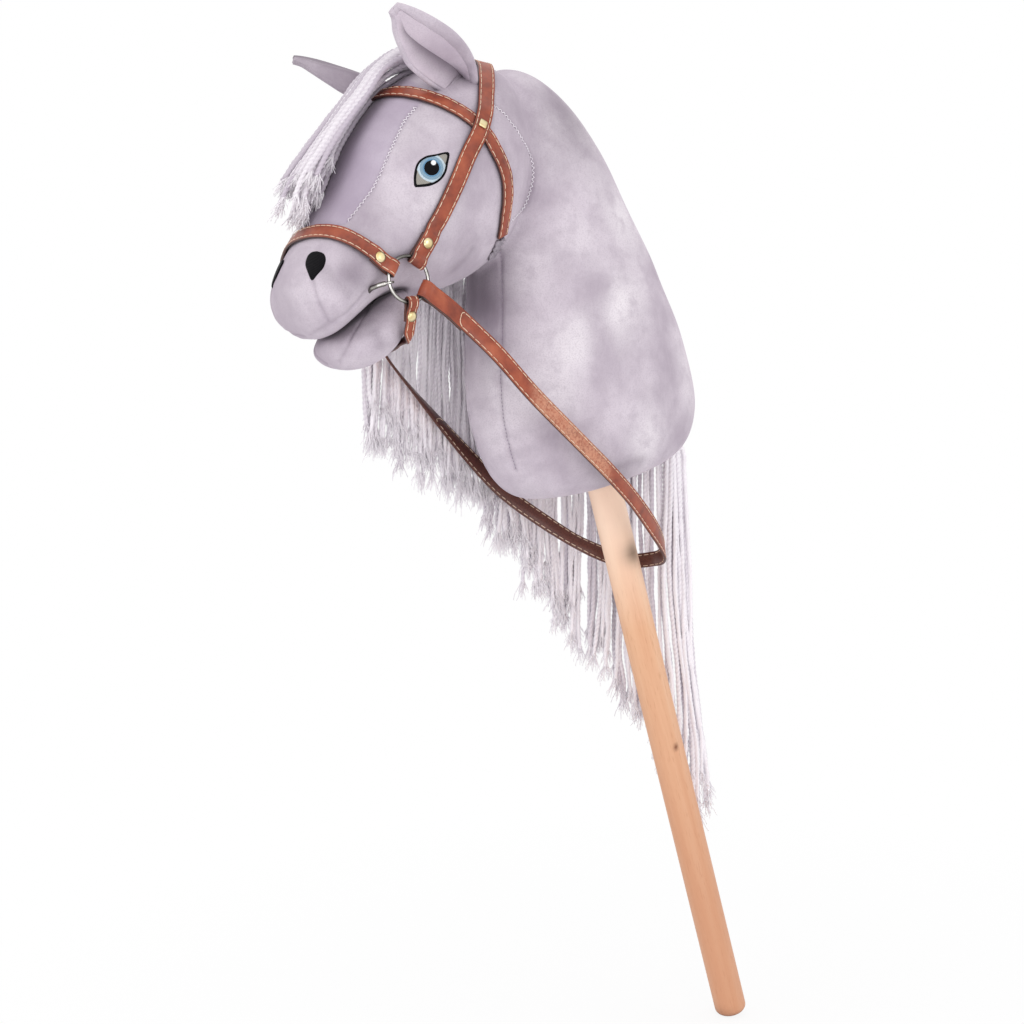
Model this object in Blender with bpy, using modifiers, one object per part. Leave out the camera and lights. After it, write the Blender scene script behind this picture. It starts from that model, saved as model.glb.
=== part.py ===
"""Hobby horse: a stuffed plush horse's head on a round wooden stick, with a leather bridle.

The horse looks along -X and its left side is -Y. The origin is the middle of the
stick's foot, and the stick leans so that the mane and the rein hang straight down.
"""

import math

import bmesh
import bpy
from mathutils import Matrix, Vector
from mathutils.bvhtree import BVHTree

# Clearances
GAP = 0.0003
STRAP_SEAT = 0.0007
RUNNING_GAP = 0.0005

# Stick
STICK_DIAMETER = 0.030
STICK_LENGTH = 0.800
STICK_LEAN = math.radians(17.6)
FOOT_ROUNDING = 0.005
TOP_CHAMFER = 0.002
STICK_FACETS = 40
STICK_ARC = 4

# Stuffed neck, measured along the stick and across it: front edge and rear edge as
# (across, height above the neck's start), and share of the neck's width
NECK_START = 0.537
NECK_WIDTH = 0.152
NECK_STATIONS = (
    (-0.060, 0.006, 0.058, 0.004, 0.60),
    (-0.090, 0.012, 0.090, 0.010, 0.84),
    (-0.108, 0.040, 0.108, 0.038, 1.00),
    (-0.114, 0.084, 0.114, 0.080, 1.00),
    (-0.103, 0.134, 0.108, 0.130, 0.98),
    (-0.084, 0.180, 0.092, 0.188, 0.92),
    (-0.070, 0.225, 0.077, 0.244, 0.84),
    (-0.062, 0.262, 0.062, 0.296, 0.76),
    (-0.058, 0.290, 0.038, 0.340, 0.68),
    (-0.052, 0.305, 0.004, 0.364, 0.56),
    (-0.050, 0.315, -0.022, 0.366, 0.42),
)

# Stuffed head: upper and lower edge in the side view (x, z), share of the head's
# width, and where the section is widest between its lower (-1) and upper (1) edge
HEAD_WIDTH = 0.144
HEAD_STATIONS = (
    (-0.290, 0.852, -0.268, 0.800, 0.50, 0.0),
    (-0.310, 0.858, -0.268, 0.752, 0.80, 0.0),
    (-0.354, 0.850, -0.282, 0.708, 0.97, -0.1),
    (-0.396, 0.820, -0.318, 0.679, 1.00, -0.1),
    (-0.420, 0.778, -0.350, 0.665, 1.00, 0.0),
    (-0.436, 0.740, -0.372, 0.662, 0.94, 0.0),
    (-0.450, 0.712, -0.394, 0.663, 0.92, 0.0),
    (-0.464, 0.692, -0.420, 0.645, 0.86, 0.0),
    (-0.475, 0.670, -0.441, 0.624, 0.75, 0.0),
    (-0.475, 0.650, -0.456, 0.622, 0.46, 0.0),
)

# Stuffed lower jaw, by the same rule
JAW_WIDTH = 0.106
JAW_STATIONS = (
    (-0.380, 0.672, -0.373, 0.654, 0.42, 0.0),
    (-0.396, 0.670, -0.382, 0.634, 0.80, 0.0),
    (-0.409, 0.660, -0.395, 0.611, 1.00, 0.0),
    (-0.424, 0.643, -0.414, 0.601, 0.93, 0.0),
    (-0.436, 0.628, -0.430, 0.602, 0.66, 0.0),
    (-0.441, 0.622, -0.437, 0.609, 0.36, 0.0),
)
FORM_LEVELS = 2

# Forelock, by the same rule
FORELOCK_WIDTH = 0.044
FORELOCK_STATIONS = (
    (-0.344, 0.861, -0.344, 0.845, 0.45),
    (-0.376, 0.858, -0.368, 0.845, 0.80),
    (-0.400, 0.8385, -0.3935, 0.8325, 1.00),
    (-0.418, 0.8155, -0.411, 0.8095, 1.00),
    (-0.437, 0.791, -0.430, 0.783, 1.00),
    (-0.453, 0.770, -0.442, 0.763, 1.05),
    (-0.470, 0.748, -0.452, 0.742, 1.10),
    (-0.480, 0.730, -0.458, 0.724, 0.95),
    (-0.476, 0.716, -0.464, 0.712, 0.60),
)

# Mane: a curtain of yarn off the crest's right side. Each column is its place along X,
# the height where it is sewn on, the height of its ends
MANE_THICKNESS = 0.007
MANE_LOCK_DEPTH = 0.0015
MANE_OFF_SKIN = 0.0095
# Where it is sewn to the crest, it starts this far inside the skin before it is cut back
MANE_SEWN_FROM = -0.290
MANE_SEWN_DEPTH = 0.0006
MANE_TO_REIN = 0.0053
MANE_BESIDE_REIN = -0.115
MANE_FALLS_FROM = 0.77
MANE_FALLS_OVER = 0.08
MANE_ROWS = 14
MANE_ROWS_CROWD = 1.6
MANE_COLUMNS = (
    (-0.352, 0.782, 0.562), (-0.338, 0.792, 0.548), (-0.324, 0.804, 0.556),
    (-0.310, 0.822, 0.534), (-0.296, 0.836, 0.540), (-0.282, 0.848, 0.518),
    (-0.268, 0.850, 0.524), (-0.254, 0.848, 0.504), (-0.240, 0.843, 0.508),
    (-0.226, 0.836, 0.486), (-0.212, 0.826, 0.484), (-0.198, 0.814, 0.452),
    (-0.184, 0.801, 0.450), (-0.170, 0.785, 0.418), (-0.156, 0.767, 0.414),
    (-0.142, 0.747, 0.384), (-0.128, 0.725, 0.380), (-0.114, 0.701, 0.346),
    (-0.100, 0.675, 0.338), (-0.087, 0.647, 0.296), (-0.075, 0.617, 0.276),
    (-0.063, 0.585, 0.238), (-0.052, 0.560, 0.222), (-0.042, 0.545, 0.196),
)

# Left ear: back of its base, its tip and the way its cup opens
EAR_THICKNESS = 0.0045
EAR_BASE = (-0.347, -0.036, 0.835)
EAR_TIP = (-0.428, -0.073, 0.8635)
EAR_OPENS = (-0.60, -0.75, -0.27)
# The ear is a leaf of cloth folded along its middle. Each row, from the root to the tip,
# has its front edge, its crease and its rear edge, and each of them the share of the
# ear's length, the place across and the height over the crease's line
EAR_ROWS = (
    ((0.02, -0.0140, 0.0170), (-0.12, 0.0080, -0.0010), (-0.29, -0.0010, 0.0125)),
    ((0.10, -0.0160, 0.0150), (0.00, 0.0070, 0.0000), (-0.16, 0.0085, 0.0135)),
    ((0.20, -0.0178, 0.0140), (0.12, 0.0045, 0.0000), (0.00, 0.0180, 0.0115)),
    ((0.34, -0.0193, 0.0120), (0.27, 0.0012, 0.0000), (0.18, 0.0228, 0.0110)),
    ((0.50, -0.0198, 0.0105), (0.42, -0.0018, 0.0000), (0.40, 0.0233, 0.0100)),
    ((0.66, -0.0155, 0.0090), (0.57, -0.0043, 0.0005), (0.62, 0.0195, 0.0090)),
    ((0.80, -0.0105, 0.0080), (0.72, -0.0050, 0.0020), (0.80, 0.0145, 0.0080)),
    ((0.91, -0.0045, 0.0080), (0.86, -0.0010, 0.0045), (0.93, 0.0095, 0.0080)),
    ((1.00, -0.0015, 0.0085), (0.99, 0.0015, 0.0075), (1.01, 0.0045, 0.0085)),
)
EAR_ACROSS = 5
EAR_LINING = 0.0012
EAR_LINING_GAP = 0.0022
# The lining's first and last row, how many rows it has, and its reach and points across
EAR_LINING_FROM = 2.0
EAR_LINING_TO = 6.8
EAR_LINING_ROWS = 5
EAR_LINING_REACH = 0.80
EAR_LINING_ACROSS = 5

# Embroidered eye and nostril: middle on the left side, tilt and size
PATCH_THICKNESS = 0.0008
PATCH_SEAT = 0.0005
PATCH_REACH = 0.0120
PATCH_CORNERS = 18
PATCH_RINGS = (0.4, 0.7, 1.0)
EYE_CENTER = (-0.386, -0.067, 0.7495)
EYE_TILT = math.radians(45.0)
EYE_LENGTH = 0.0406
EYE_HEIGHT = 0.0210
EYE_POINTED = 2.0
NOSTRIL_CENTER = (-0.468, -0.035, 0.675)
NOSTRIL_TILT = math.radians(-107.0)
NOSTRIL_LENGTH = 0.023
NOSTRIL_WIDTH = 0.017
NOSTRIL_POINTED = 1.1
NOSTRIL_DROP = 0.45

# Bridle leather
LEATHER = 0.0022
HEAD_STRAP_WIDTH = 0.0125
CHEEK_STRAP_WIDTH = 0.0135
CHIN_STRAP_WIDTH = 0.0090
REIN_WIDTH = 0.0140
STRAP_STEP = 0.0065
SETTLE_LENGTH = 0.022

# Bit rings, on both cheeks
RING_DIAMETER = 0.0342
RING_WIRE = 0.0028
RING_FACETS = (40, 8)
BIT_EYE_FACETS = (16, 6)
RING_PLACE = (-0.4075, 0.666)
BIT_WIRE = 0.0040
BIT_EYE_WIRE = 0.0022
BIT_STEP = 0.0080
# Where each piece leaves the ring, seen from the left, from +X towards +Z
CHEEK_ANGLE = math.radians(62.0)
NOSE_ANGLE = math.radians(153.0)
CHIN_ANGLE = math.radians(-81.0)
REIN_ANGLE = math.radians(-26.0)
BIT_ANGLE = math.radians(193.0)
# Length from the ring's wire to the rivet, to the end of the turned back leather
CHEEK_FOLD = (0.0150, 0.0205)
NOSE_FOLD = (0.0118, 0.0160)
# How strongly the noseband's ends curve upwards, as offset over squared length
NOSE_BEND = 8.0
CHIN_FOLD = (0.0100, 0.0140)
REIN_FOLD = (0.0250, 0.0430)
FOLD_CLOSES = 0.0075
FOLD_CLOSING_STOPS = (0.35, 0.7, 1.0)
FOLD_RAMP = 0.0080
FOLD_FALL = 0.3
FOLD_STEPS = 4
FOLD_TURNS = 6

# Straps on the head, on the left side, as points near the skin
CROWN_ROUTE = ((-0.3755, -0.0710, 0.7250), (-0.3636, -0.0710, 0.7475), (-0.3530, -0.0692, 0.7670),
               (-0.3405, -0.0660, 0.7880), (-0.3300, -0.0570, 0.8118), (-0.3205, -0.0440, 0.8330),
               (-0.3080, -0.0220, 0.8520), (-0.3040, 0.0, 0.8580))
NOSE_ROUTE = ((-0.4493, -0.0446, 0.6980), (-0.4540, -0.0270, 0.7022),
              (-0.4572, 0.0, 0.7042))
CHIN_ROUTE = ((-0.3960, -0.0480, 0.6265), (-0.3930, -0.0360, 0.6220), (-0.3900, -0.0180, 0.6190),
              (-0.3890, 0.0, 0.6180))
BROW_ROUTE = ((-0.3125, -0.0500, 0.7105), (-0.3152, -0.0601, 0.7241), (-0.3160, -0.0652, 0.7389),
              (-0.3193, -0.0685, 0.7534), (-0.3277, -0.0695, 0.7676), (-0.3405, -0.0660, 0.7870),
              (-0.3551, -0.0579, 0.7990), (-0.3690, -0.0460, 0.8075), (-0.3825, -0.0280, 0.8142),
              (-0.3895, -0.0120, 0.8175), (-0.3905, 0.0, 0.8180))
TAB_ROUTE = ((-0.3098, -0.0330, 0.6960), (-0.3110, -0.0410, 0.7010), (-0.3120, -0.0475, 0.7080))
CROSSING = (-0.341, 0.788)
CROSSING_FLAT = 0.013
CROSSING_RAMP = 0.014
# Line inside the head that the straps are laid round
HEAD_SPINE = ((-0.330, 0.800), (-0.370, 0.750), (-0.405, 0.690), (-0.440, 0.660))
TAB_WIDTH = 0.0115
TAB_THICKNESS = 0.0014
BIT_ROUTE = ((-0.4330, -0.0580, 0.6585), (-0.4310, -0.0400, 0.6525), (-0.4250, -0.0180, 0.6480),
             (-0.4240, 0.0, 0.6470))
REIN_STEP = 0.0110
# How strongly the rein's ends curve downwards, as offset over squared length
REIN_BEND = 2.4
REIN_TURN_NEAR = 0.030
REIN_TURN_LENGTH = 0.040
# The right half leaves its ring twisted up, and flattens between these two heights
REIN_TWIST = math.radians(62.0)
REIN_TWIST_TOP = 0.612
REIN_TWIST_BOTTOM = 0.505

# Rein, from the left ring round behind the stick to the right ring
REIN_SIDE = 0.0795
REIN_ROUTE = ((-0.3330, -0.0780, 0.6130), (-0.2999, -REIN_SIDE, 0.5829), (-0.2547, -REIN_SIDE, 0.5474),
              (-0.2185, -0.0770, 0.5205), (-0.1790, -0.0635, 0.4950),
              (-0.1370, -0.0425, 0.4665), (-0.1120, -0.0225, 0.4480),
              (-0.1060, 0.0, 0.4415), (-0.1225, 0.0205, 0.4405),
              (-0.1530, 0.0385, 0.4545), (-0.1840, 0.0590, 0.4770),
              (-0.2185, 0.0745, 0.5045), (-0.2547, REIN_SIDE, 0.5390),
              (-0.2999, 0.0775, 0.5810), (-0.3330, 0.0750, 0.6130))

# Brass rivets
RIVET_HEAD = 0.0080
RIVET_RISE = 0.0022
RIVET_EDGE = 0.0003
RIVET_SHANK = 0.0030
SHANK_CLEARANCE = 0.0002
# Height over the leather above which the leather is pressed flat under a rivet's head
RIVET_PRESS = 0.0001
RIVET_FACETS = 12
RIVET_ARC = 3
# The brow rivets have square plates as heads, which lie along the crown strap
PLATE_WIDTH = 0.0066
PLATE_FACETS = 4
PLATE_BEVEL = 0.0009

# Looks of the materials
PLUSH = dict(color=(0.62, 0.56, 0.64), roughness=0.9)
LINING = dict(color=(0.50, 0.44, 0.53), roughness=0.9)
YARN = dict(color=(0.80, 0.77, 0.82), roughness=0.85)
LEATHER_LOOK = dict(color=(0.38, 0.13, 0.06), roughness=0.5)
NICKEL = dict(color=(0.75, 0.73, 0.70), roughness=0.25, metallic=1.0)
BRASS = dict(color=(0.75, 0.55, 0.22), roughness=0.3, metallic=1.0)
BEECH = dict(color=(0.83, 0.55, 0.33), roughness=0.55)

SIDES = (("near", -1.0), ("far", 1.0))
LEFT = Vector((0.0, -1.0, 0.0))
COLLECTION = "hobby_horse"
CUTTERS = "hobby_horse_cutters"

# Points that a ring of eight cage corners has to stand out by, so that the
# subdivided surface passes through the ellipse that is asked for
CAGE_CORNERS = 8
CAGE_SWELL = 6.0 / (4.0 + 2.0 * math.cos(2.0 * math.pi / CAGE_CORNERS))


def clear_scene():
    for obj in list(bpy.data.objects):
        bpy.data.objects.remove(obj, do_unlink=True)


def new_collection(name):
    collection = bpy.data.collections.new(name)
    bpy.context.scene.collection.children.link(collection)
    return collection


def new_material(name, color, roughness, metallic=0.0):
    material = bpy.data.materials.new(name)
    material.use_nodes = True
    shader = material.node_tree.nodes["Principled BSDF"]
    shader.inputs["Base Color"].default_value = (*color, 1.0)
    shader.inputs["Roughness"].default_value = roughness
    shader.inputs["Metallic"].default_value = metallic
    material.diffuse_color = (*color, 1.0)
    return material


def add_object(name, mesh, collection, color=(0.8, 0.8, 0.8), roughness=0.6, metallic=0.0):
    obj = bpy.data.objects.new(name, mesh)
    collection.objects.link(obj)
    mesh.materials.append(new_material(name, color, roughness, metallic))
    return obj


def stick_point(across, along):
    """World x and z of a point that is measured across and along the stick."""
    x = across * math.cos(STICK_LEAN) - along * math.sin(STICK_LEAN)
    z = across * math.sin(STICK_LEAN) + along * math.cos(STICK_LEAN)
    return x, z


def cage_ring(upper, lower, half_width, wide_at):
    """Corners of one ring of a soft form's cage, from its upper edge round its left side."""
    upper = Vector((upper[0], 0.0, upper[1]))
    lower = Vector((lower[0], 0.0, lower[1]))
    center = (upper + lower) / 2.0
    half = (upper - lower) / 2.0 * CAGE_SWELL
    side = Vector((0.0, -half_width * CAGE_SWELL, 0.0))
    corners = []
    for index in range(CAGE_CORNERS):
        angle = 2.0 * math.pi * index / CAGE_CORNERS
        shift = wide_at * abs(math.sin(angle))
        corners.append(center + half * (math.cos(angle) + shift) + side * math.sin(angle))
    return corners


def soft_mesh(name, rings):
    """A closed cage through rings of corners."""
    bm = bmesh.new()
    rows = [[bm.verts.new(corner) for corner in ring] for ring in rings]
    count = len(rows[0])
    for first, second in zip(rows, rows[1:]):
        for index in range(count):
            after = (index + 1) % count
            bm.faces.new((first[index], first[after], second[after], second[index]))
    bm.faces.new(tuple(reversed(rows[0])))
    bm.faces.new(tuple(rows[-1]))
    bmesh.ops.recalc_face_normals(bm, faces=bm.faces)
    mesh = bpy.data.meshes.new(name)
    bm.to_mesh(mesh)
    bm.free()
    mesh.shade_smooth()
    return mesh


def add_subdivision(obj, levels):
    modifier = obj.modifiers.new("Subdivision", "SUBSURF")
    modifier.levels = levels
    modifier.render_levels = levels
    return modifier


def neck_rings():
    rings = []
    for front, front_height, rear, rear_height, share in NECK_STATIONS:
        rings.append(cage_ring(stick_point(rear, NECK_START + rear_height),
                               stick_point(front, NECK_START + front_height),
                               NECK_WIDTH / 2.0 * share, 0.0))
    return rings


def profile_rings(stations, width):
    rings = []
    for upper_x, upper_z, lower_x, lower_z, share, wide_at in stations:
        rings.append(cage_ring((upper_x, upper_z), (lower_x, lower_z),
                               width / 2.0 * share, wide_at))
    return rings


def smooth_step(value):
    value = min(1.0, max(0.0, value))
    return value * value * (3.0 - 2.0 * value)


def mix(first, second, share):
    return first * (1.0 - share) + second * share


def mirrored(point):
    return Vector((point[0], -point[1], point[2]))


def spline_points(controls, step):
    """Points a step apart on a smooth curve through the controls."""
    controls = [Vector(control) for control in controls]
    ends = [controls[0] * 2.0 - controls[1], *controls, controls[-1] * 2.0 - controls[-2]]
    points = [controls[0]]
    for before, first, second, after in zip(ends, ends[1:], ends[2:], ends[3:]):
        count = max(1, round((second - first).length / step))
        for index in range(1, count + 1):
            t = index / count
            points.append(0.5 * (2.0 * first + (second - before) * t
                                 + (2.0 * before - 5.0 * first + 4.0 * second - after) * t ** 2
                                 + (3.0 * first - before - 3.0 * second + after) * t ** 3))
    return points


def evaluated_mesh(obj):
    """World points and faces of an object as its modifiers leave it."""
    bpy.context.view_layer.update()
    evaluated = obj.evaluated_get(bpy.context.evaluated_depsgraph_get())
    mesh = evaluated.to_mesh()
    points = [obj.matrix_world @ vertex.co for vertex in mesh.vertices]
    faces = [tuple(polygon.vertices) for polygon in mesh.polygons]
    evaluated.to_mesh_clear()
    return points, faces


class Skin:
    """The outer surface of the stuffed forms, for what is laid on it."""

    def __init__(self, forms):
        points = []
        faces = []
        for form in forms:
            form_points, form_faces = evaluated_mesh(form)
            offset = len(points)
            points.extend(form_points)
            faces.extend(tuple(index + offset for index in face) for face in form_faces)
        self.tree = BVHTree.FromPolygons(points, faces)

    def cast(self, origin, direction):
        location, normal, _, _ = self.tree.ray_cast(origin, direction)
        if location is None:
            return None
        if normal.dot(direction) > 0.0:
            normal = -normal
        return location, normal

    def around_head(self, guess):
        """The skin's point and normal next to a guess, looking in towards the head's spine."""
        spine = [Vector((x, 0.0, z)) for x, z in HEAD_SPINE]
        nearest = None
        for first, second in zip(spine, spine[1:]):
            line = second - first
            share = min(1.0, max(0.0, (guess - first).dot(line) / line.length_squared))
            candidate = first + line * share
            if nearest is None or (guess - candidate).length < (guess - nearest).length:
                nearest = candidate
        outward = (guess - nearest).normalized()
        return self.cast(nearest + outward * NECK_WIDTH * 2.0, -outward)

    def half_width(self, x, z):
        """How far the skin reaches to the left of the middle plane at one place."""
        hit = self.cast(Vector((x, -NECK_WIDTH * 2.0, z)), Vector((0.0, 1.0, 0.0)))
        if hit is None or hit[0].y > 0.0:
            return 0.0
        return -hit[0].y


def smoothed(vectors):
    result = []
    for index, vector in enumerate(vectors):
        before = vectors[max(index - 1, 0)]
        after = vectors[min(index + 1, len(vectors) - 1)]
        result.append((before + vector * 2.0 + after).normalized())
    return result


def tangents(points):
    result = []
    for index in range(len(points)):
        before = points[max(index - 1, 0)]
        after = points[min(index + 1, len(points) - 1)]
        result.append((after - before).normalized())
    return result


def strap_row(center, across, width):
    return [center - across * width / 2.0, center, center + across * width / 2.0]


def eased(before, point, after, normal):
    """A point drawn towards its neighbours, but never in towards the skin."""
    move = (before + after - point * 2.0) / 4.0
    return point + move - normal * min(0.0, move.dot(normal))


def skin_rows(skin, controls, width, rise, start=None):
    """Rows of a strap's inner face along the skin, lifted by rise(point).

    A strap that starts off the skin, at the row given, settles on it further along.
    """
    hits = [skin.around_head(guess) for guess in spline_points(controls, STRAP_STEP)]
    points = [location for location, _ in hits]
    normals = smoothed([normal for _, normal in hits])
    rows = []
    for point, normal, tangent in zip(points, normals, tangents(points)):
        across = tangent.cross(normal).normalized()
        lift = normal * (STRAP_SEAT + rise(point))
        row = strap_row(point, across, width)
        rows.append([skin.around_head(edge)[0] + lift for edge in row])
    rows[1:-1] = [[eased(*edges, normal) for edges in zip(*three)]
                  for *three, normal in zip(rows, rows[1:], rows[2:], normals[1:])]
    if start is None:
        return rows
    excess = [wanted - found for wanted, found in zip(start, rows[0])]
    for point, row in zip(points, rows):
        left_over = 1.0 - smooth_step((point - points[0]).length / SETTLE_LENGTH)
        row[:] = [edge + more * left_over for edge, more in zip(row, excess)]
    return rows


def mirrored_rows(rows):
    """The right half of a strap whose left half ends on the middle plane."""
    return [[mirrored(point) for point in row] for row in reversed(rows[:-1])]


class Ring:
    """One bit ring's place, and the turned back strap ends that hang on it."""

    def __init__(self, skin):
        self.x, self.z = RING_PLACE
        self.radius = RING_DIAMETER / 2.0
        self.eye = RING_WIRE / 2.0 + RUNNING_GAP
        seats = []
        for angle in (CHEEK_ANGLE, NOSE_ANGLE, REIN_ANGLE):
            for reach in (self.radius, self.radius + FOLD_CLOSES):
                x = self.x + math.cos(angle) * reach
                z = self.z + math.sin(angle) * reach
                seats.append(skin.half_width(x, z))
        self.side = max(seats) + STRAP_SEAT + LEATHER + self.eye

    def fold_rows(self, skin, angle, fold, width, on_skin=True, bend=0.0):
        """Rows from the strap's end, round the wire and out again, on the left side."""
        out = Vector((math.cos(angle), 0.0, math.sin(angle)))
        rivet, turned_end = fold
        wire_edge = math.sqrt(self.radius ** 2 - (width / 2.0) ** 2)
        middle = (self.radius + wire_edge) / 2.0
        reach = self.radius - middle + self.eye
        upwards = out.cross(LEFT)

        def row_at(distance, height):
            beyond = max(0.0, distance - middle)
            center = Vector((self.x, -height, self.z)) + out * distance
            along = (out + upwards * (2.0 * bend * beyond)).normalized()
            return strap_row(center + upwards * (bend * beyond ** 2), along.cross(LEFT), width)

        def seat(distance):
            if not on_skin:
                return self.side - LEATHER - GAP / 2.0
            widths = [skin.half_width(point.x, point.z) for point in row_at(distance, 0.0)]
            hanging = self.side - self.eye - LEATHER - FOLD_FALL * (distance - middle)
            return max(max(widths) + STRAP_SEAT, hanging)

        rows = []
        for index in range(FOLD_STEPS):
            distance = middle + turned_end * (1.0 - index / FOLD_STEPS)
            share = smooth_step((distance - middle) / FOLD_CLOSES)
            height = mix(self.side - self.eye, seat(distance) + LEATHER, share)
            rows.append(row_at(distance, height))
        for index in range(FOLD_TURNS + 1):
            angle_round = math.pi * index / FOLD_TURNS
            height = self.side - self.eye * math.cos(angle_round)
            rows.append(row_at(middle - reach * math.sin(angle_round), height))
        closed = LEATHER + GAP
        stops = [FOLD_CLOSES * share for share in FOLD_CLOSING_STOPS] + [rivet, turned_end]
        if on_skin:
            stops.extend((turned_end + FOLD_RAMP * 0.5, turned_end + FOLD_RAMP))
        for stop in sorted(stops):
            distance = middle + stop
            share = smooth_step(stop / FOLD_CLOSES)
            over = closed * (1.0 - smooth_step((stop - turned_end) / FOLD_RAMP))
            height = mix(self.side + self.eye, seat(distance) + over, share)
            rows.append(row_at(distance, height))
            if stop == rivet:
                rivet_row = len(rows) - 1
        before, row, after = (rows[rivet_row + shift] for shift in (-1, 0, 1))
        outward = (row[2] - row[0]).cross(after[1] - before[1]).normalized()
        if outward.dot(LEFT) < 0.0:
            outward = -outward
        return rows, (row[1], outward)


def strap_mesh(name, rows):
    """The inner face of a strap."""
    bm = bmesh.new()
    grid = [[bm.verts.new(point) for point in row] for row in rows]
    for first, second in zip(grid, grid[1:]):
        for index in range(len(first) - 1):
            bm.faces.new((first[index], first[index + 1], second[index + 1], second[index]))
    mesh = bpy.data.meshes.new(name)
    bm.to_mesh(mesh)
    bm.free()
    mesh.shade_smooth()
    return mesh


def add_solidify(obj, thickness, offset=1.0):
    modifier = obj.modifiers.new("Solidify", "SOLIDIFY")
    modifier.thickness = thickness
    modifier.offset = offset
    modifier.use_even_offset = True
    return modifier


def add_boolean(obj, cutter, operation="DIFFERENCE", solver="EXACT"):
    modifier = obj.modifiers.new("Boolean", "BOOLEAN")
    modifier.operation = operation
    modifier.solver = solver
    modifier.object = cutter
    return modifier


def hide_cutter(obj):
    obj.hide_render = True
    obj.display_type = "WIRE"
    return obj


def new_mesh_object(name, bm, collection):
    mesh = bpy.data.meshes.new(name)
    bm.to_mesh(mesh)
    bm.free()
    obj = bpy.data.objects.new(name, mesh)
    collection.objects.link(obj)
    return obj


def swollen_copy(form, name, cutters, swell=GAP):
    """A cutter that stands proud of a soft form by the gap to its neighbour."""
    cutter = bpy.data.objects.new(name, form.data.copy())
    cutters.objects.link(cutter)
    add_subdivision(cutter, FORM_LEVELS)
    displace = cutter.modifiers.new("Displace", "DISPLACE")
    displace.strength = swell
    displace.mid_level = 0.0
    return hide_cutter(cutter)


def lean_matrix(along=0.0):
    """The stick's frame, moved up along the stick."""
    turn = Matrix.Rotation(-STICK_LEAN, 4, "Y")
    return turn @ Matrix.Translation((0.0, 0.0, along))


def add_turned(name, profile, segments, collection, **look):
    """A round solid from a profile of (radius, height), top to bottom on its outer side."""
    bm = bmesh.new()
    verts = [bm.verts.new((radius, 0.0, height)) for radius, height in profile]
    for first, second in zip(verts, verts[1:]):
        bm.edges.new((first, second))
    mesh = bpy.data.meshes.new(name)
    bm.to_mesh(mesh)
    bm.free()
    obj = add_object(name, mesh, collection, **look)
    screw = obj.modifiers.new("Screw", "SCREW")
    screw.steps = segments
    screw.render_steps = segments
    screw.use_merge_vertices = True
    screw.merge_threshold = 0.00005
    screw.use_smooth_shade = True
    return obj


def arc_profile(radius, top, rise, steps):
    """A quarter arc from the axis down to a rim of the given radius."""
    points = []
    for index in range(steps + 1):
        angle = math.pi / 2.0 * index / steps
        points.append((radius * math.sin(angle), top - rise + rise * math.cos(angle)))
    return points


def add_stick(collection):
    radius = STICK_DIAMETER / 2.0
    profile = [(0.0, STICK_LENGTH), (radius - TOP_CHAMFER, STICK_LENGTH),
               (radius, STICK_LENGTH - TOP_CHAMFER)]
    for index in range(STICK_ARC + 1):
        angle = math.pi / 2.0 * index / STICK_ARC
        profile.append((radius - FOOT_ROUNDING * (1.0 - math.cos(angle)),
                        FOOT_ROUNDING * (1.0 - math.sin(angle))))
    profile.append((0.0, 0.0))
    stick = add_turned("stick", profile, STICK_FACETS, collection, **BEECH)
    stick.matrix_world = lean_matrix()


def add_cylinder_cutter(name, radius, length, matrix, cutters):
    bm = bmesh.new()
    bmesh.ops.create_cone(bm, cap_ends=True, segments=STICK_FACETS, radius1=radius, radius2=radius,
                          depth=length)
    obj = new_mesh_object(name, bm, cutters)
    obj.matrix_world = matrix
    return hide_cutter(obj)


def add_forms(parts, cutters):
    """The stuffed neck, head and lower jaw, each cut back by the larger ones.

    Also returns the skin of all three, that of the head, and the two swollen cutters.
    """
    forms = {}
    for name, rings in (("neck", neck_rings()),
                        ("head", profile_rings(HEAD_STATIONS, HEAD_WIDTH)),
                        ("lower_jaw", profile_rings(JAW_STATIONS, JAW_WIDTH))):
        form = add_object(name, soft_mesh(name, rings), parts, **PLUSH)
        add_subdivision(form, FORM_LEVELS)
        forms[name] = form
    skin = Skin(forms.values())
    head_skin = Skin([forms["head"]])
    neck_cutter = swollen_copy(forms["neck"], "neck_cutter", cutters)
    head_cutter = swollen_copy(forms["head"], "head_cutter", cutters)
    add_boolean(forms["head"], neck_cutter)
    add_boolean(forms["lower_jaw"], head_cutter)
    socket_end = STICK_LENGTH + RUNNING_GAP
    socket_length = socket_end - NECK_START + NECK_WIDTH / 2.0
    socket = add_cylinder_cutter("stick_socket_cutter", STICK_DIAMETER / 2.0 + GAP, socket_length,
                                 lean_matrix(socket_end - socket_length / 2.0), cutters)
    add_boolean(forms["neck"], socket)
    return forms, skin, head_skin, head_cutter, neck_cutter


def add_strap(name, rows, parts):
    strap = add_object(name, strap_mesh(name, rows), parts, **LEATHER_LOOK)
    add_solidify(strap, LEATHER)
    return strap


def crossing_rise(point):
    """How far the crown strap stands up where it passes over the browband."""
    away = math.hypot(point.x - CROSSING[0], point.z - CROSSING[1])
    return (LEATHER + GAP) * (1.0 - smooth_step((away - CROSSING_FLAT) / CROSSING_RAMP))


def no_rise(point):
    return 0.0


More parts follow.
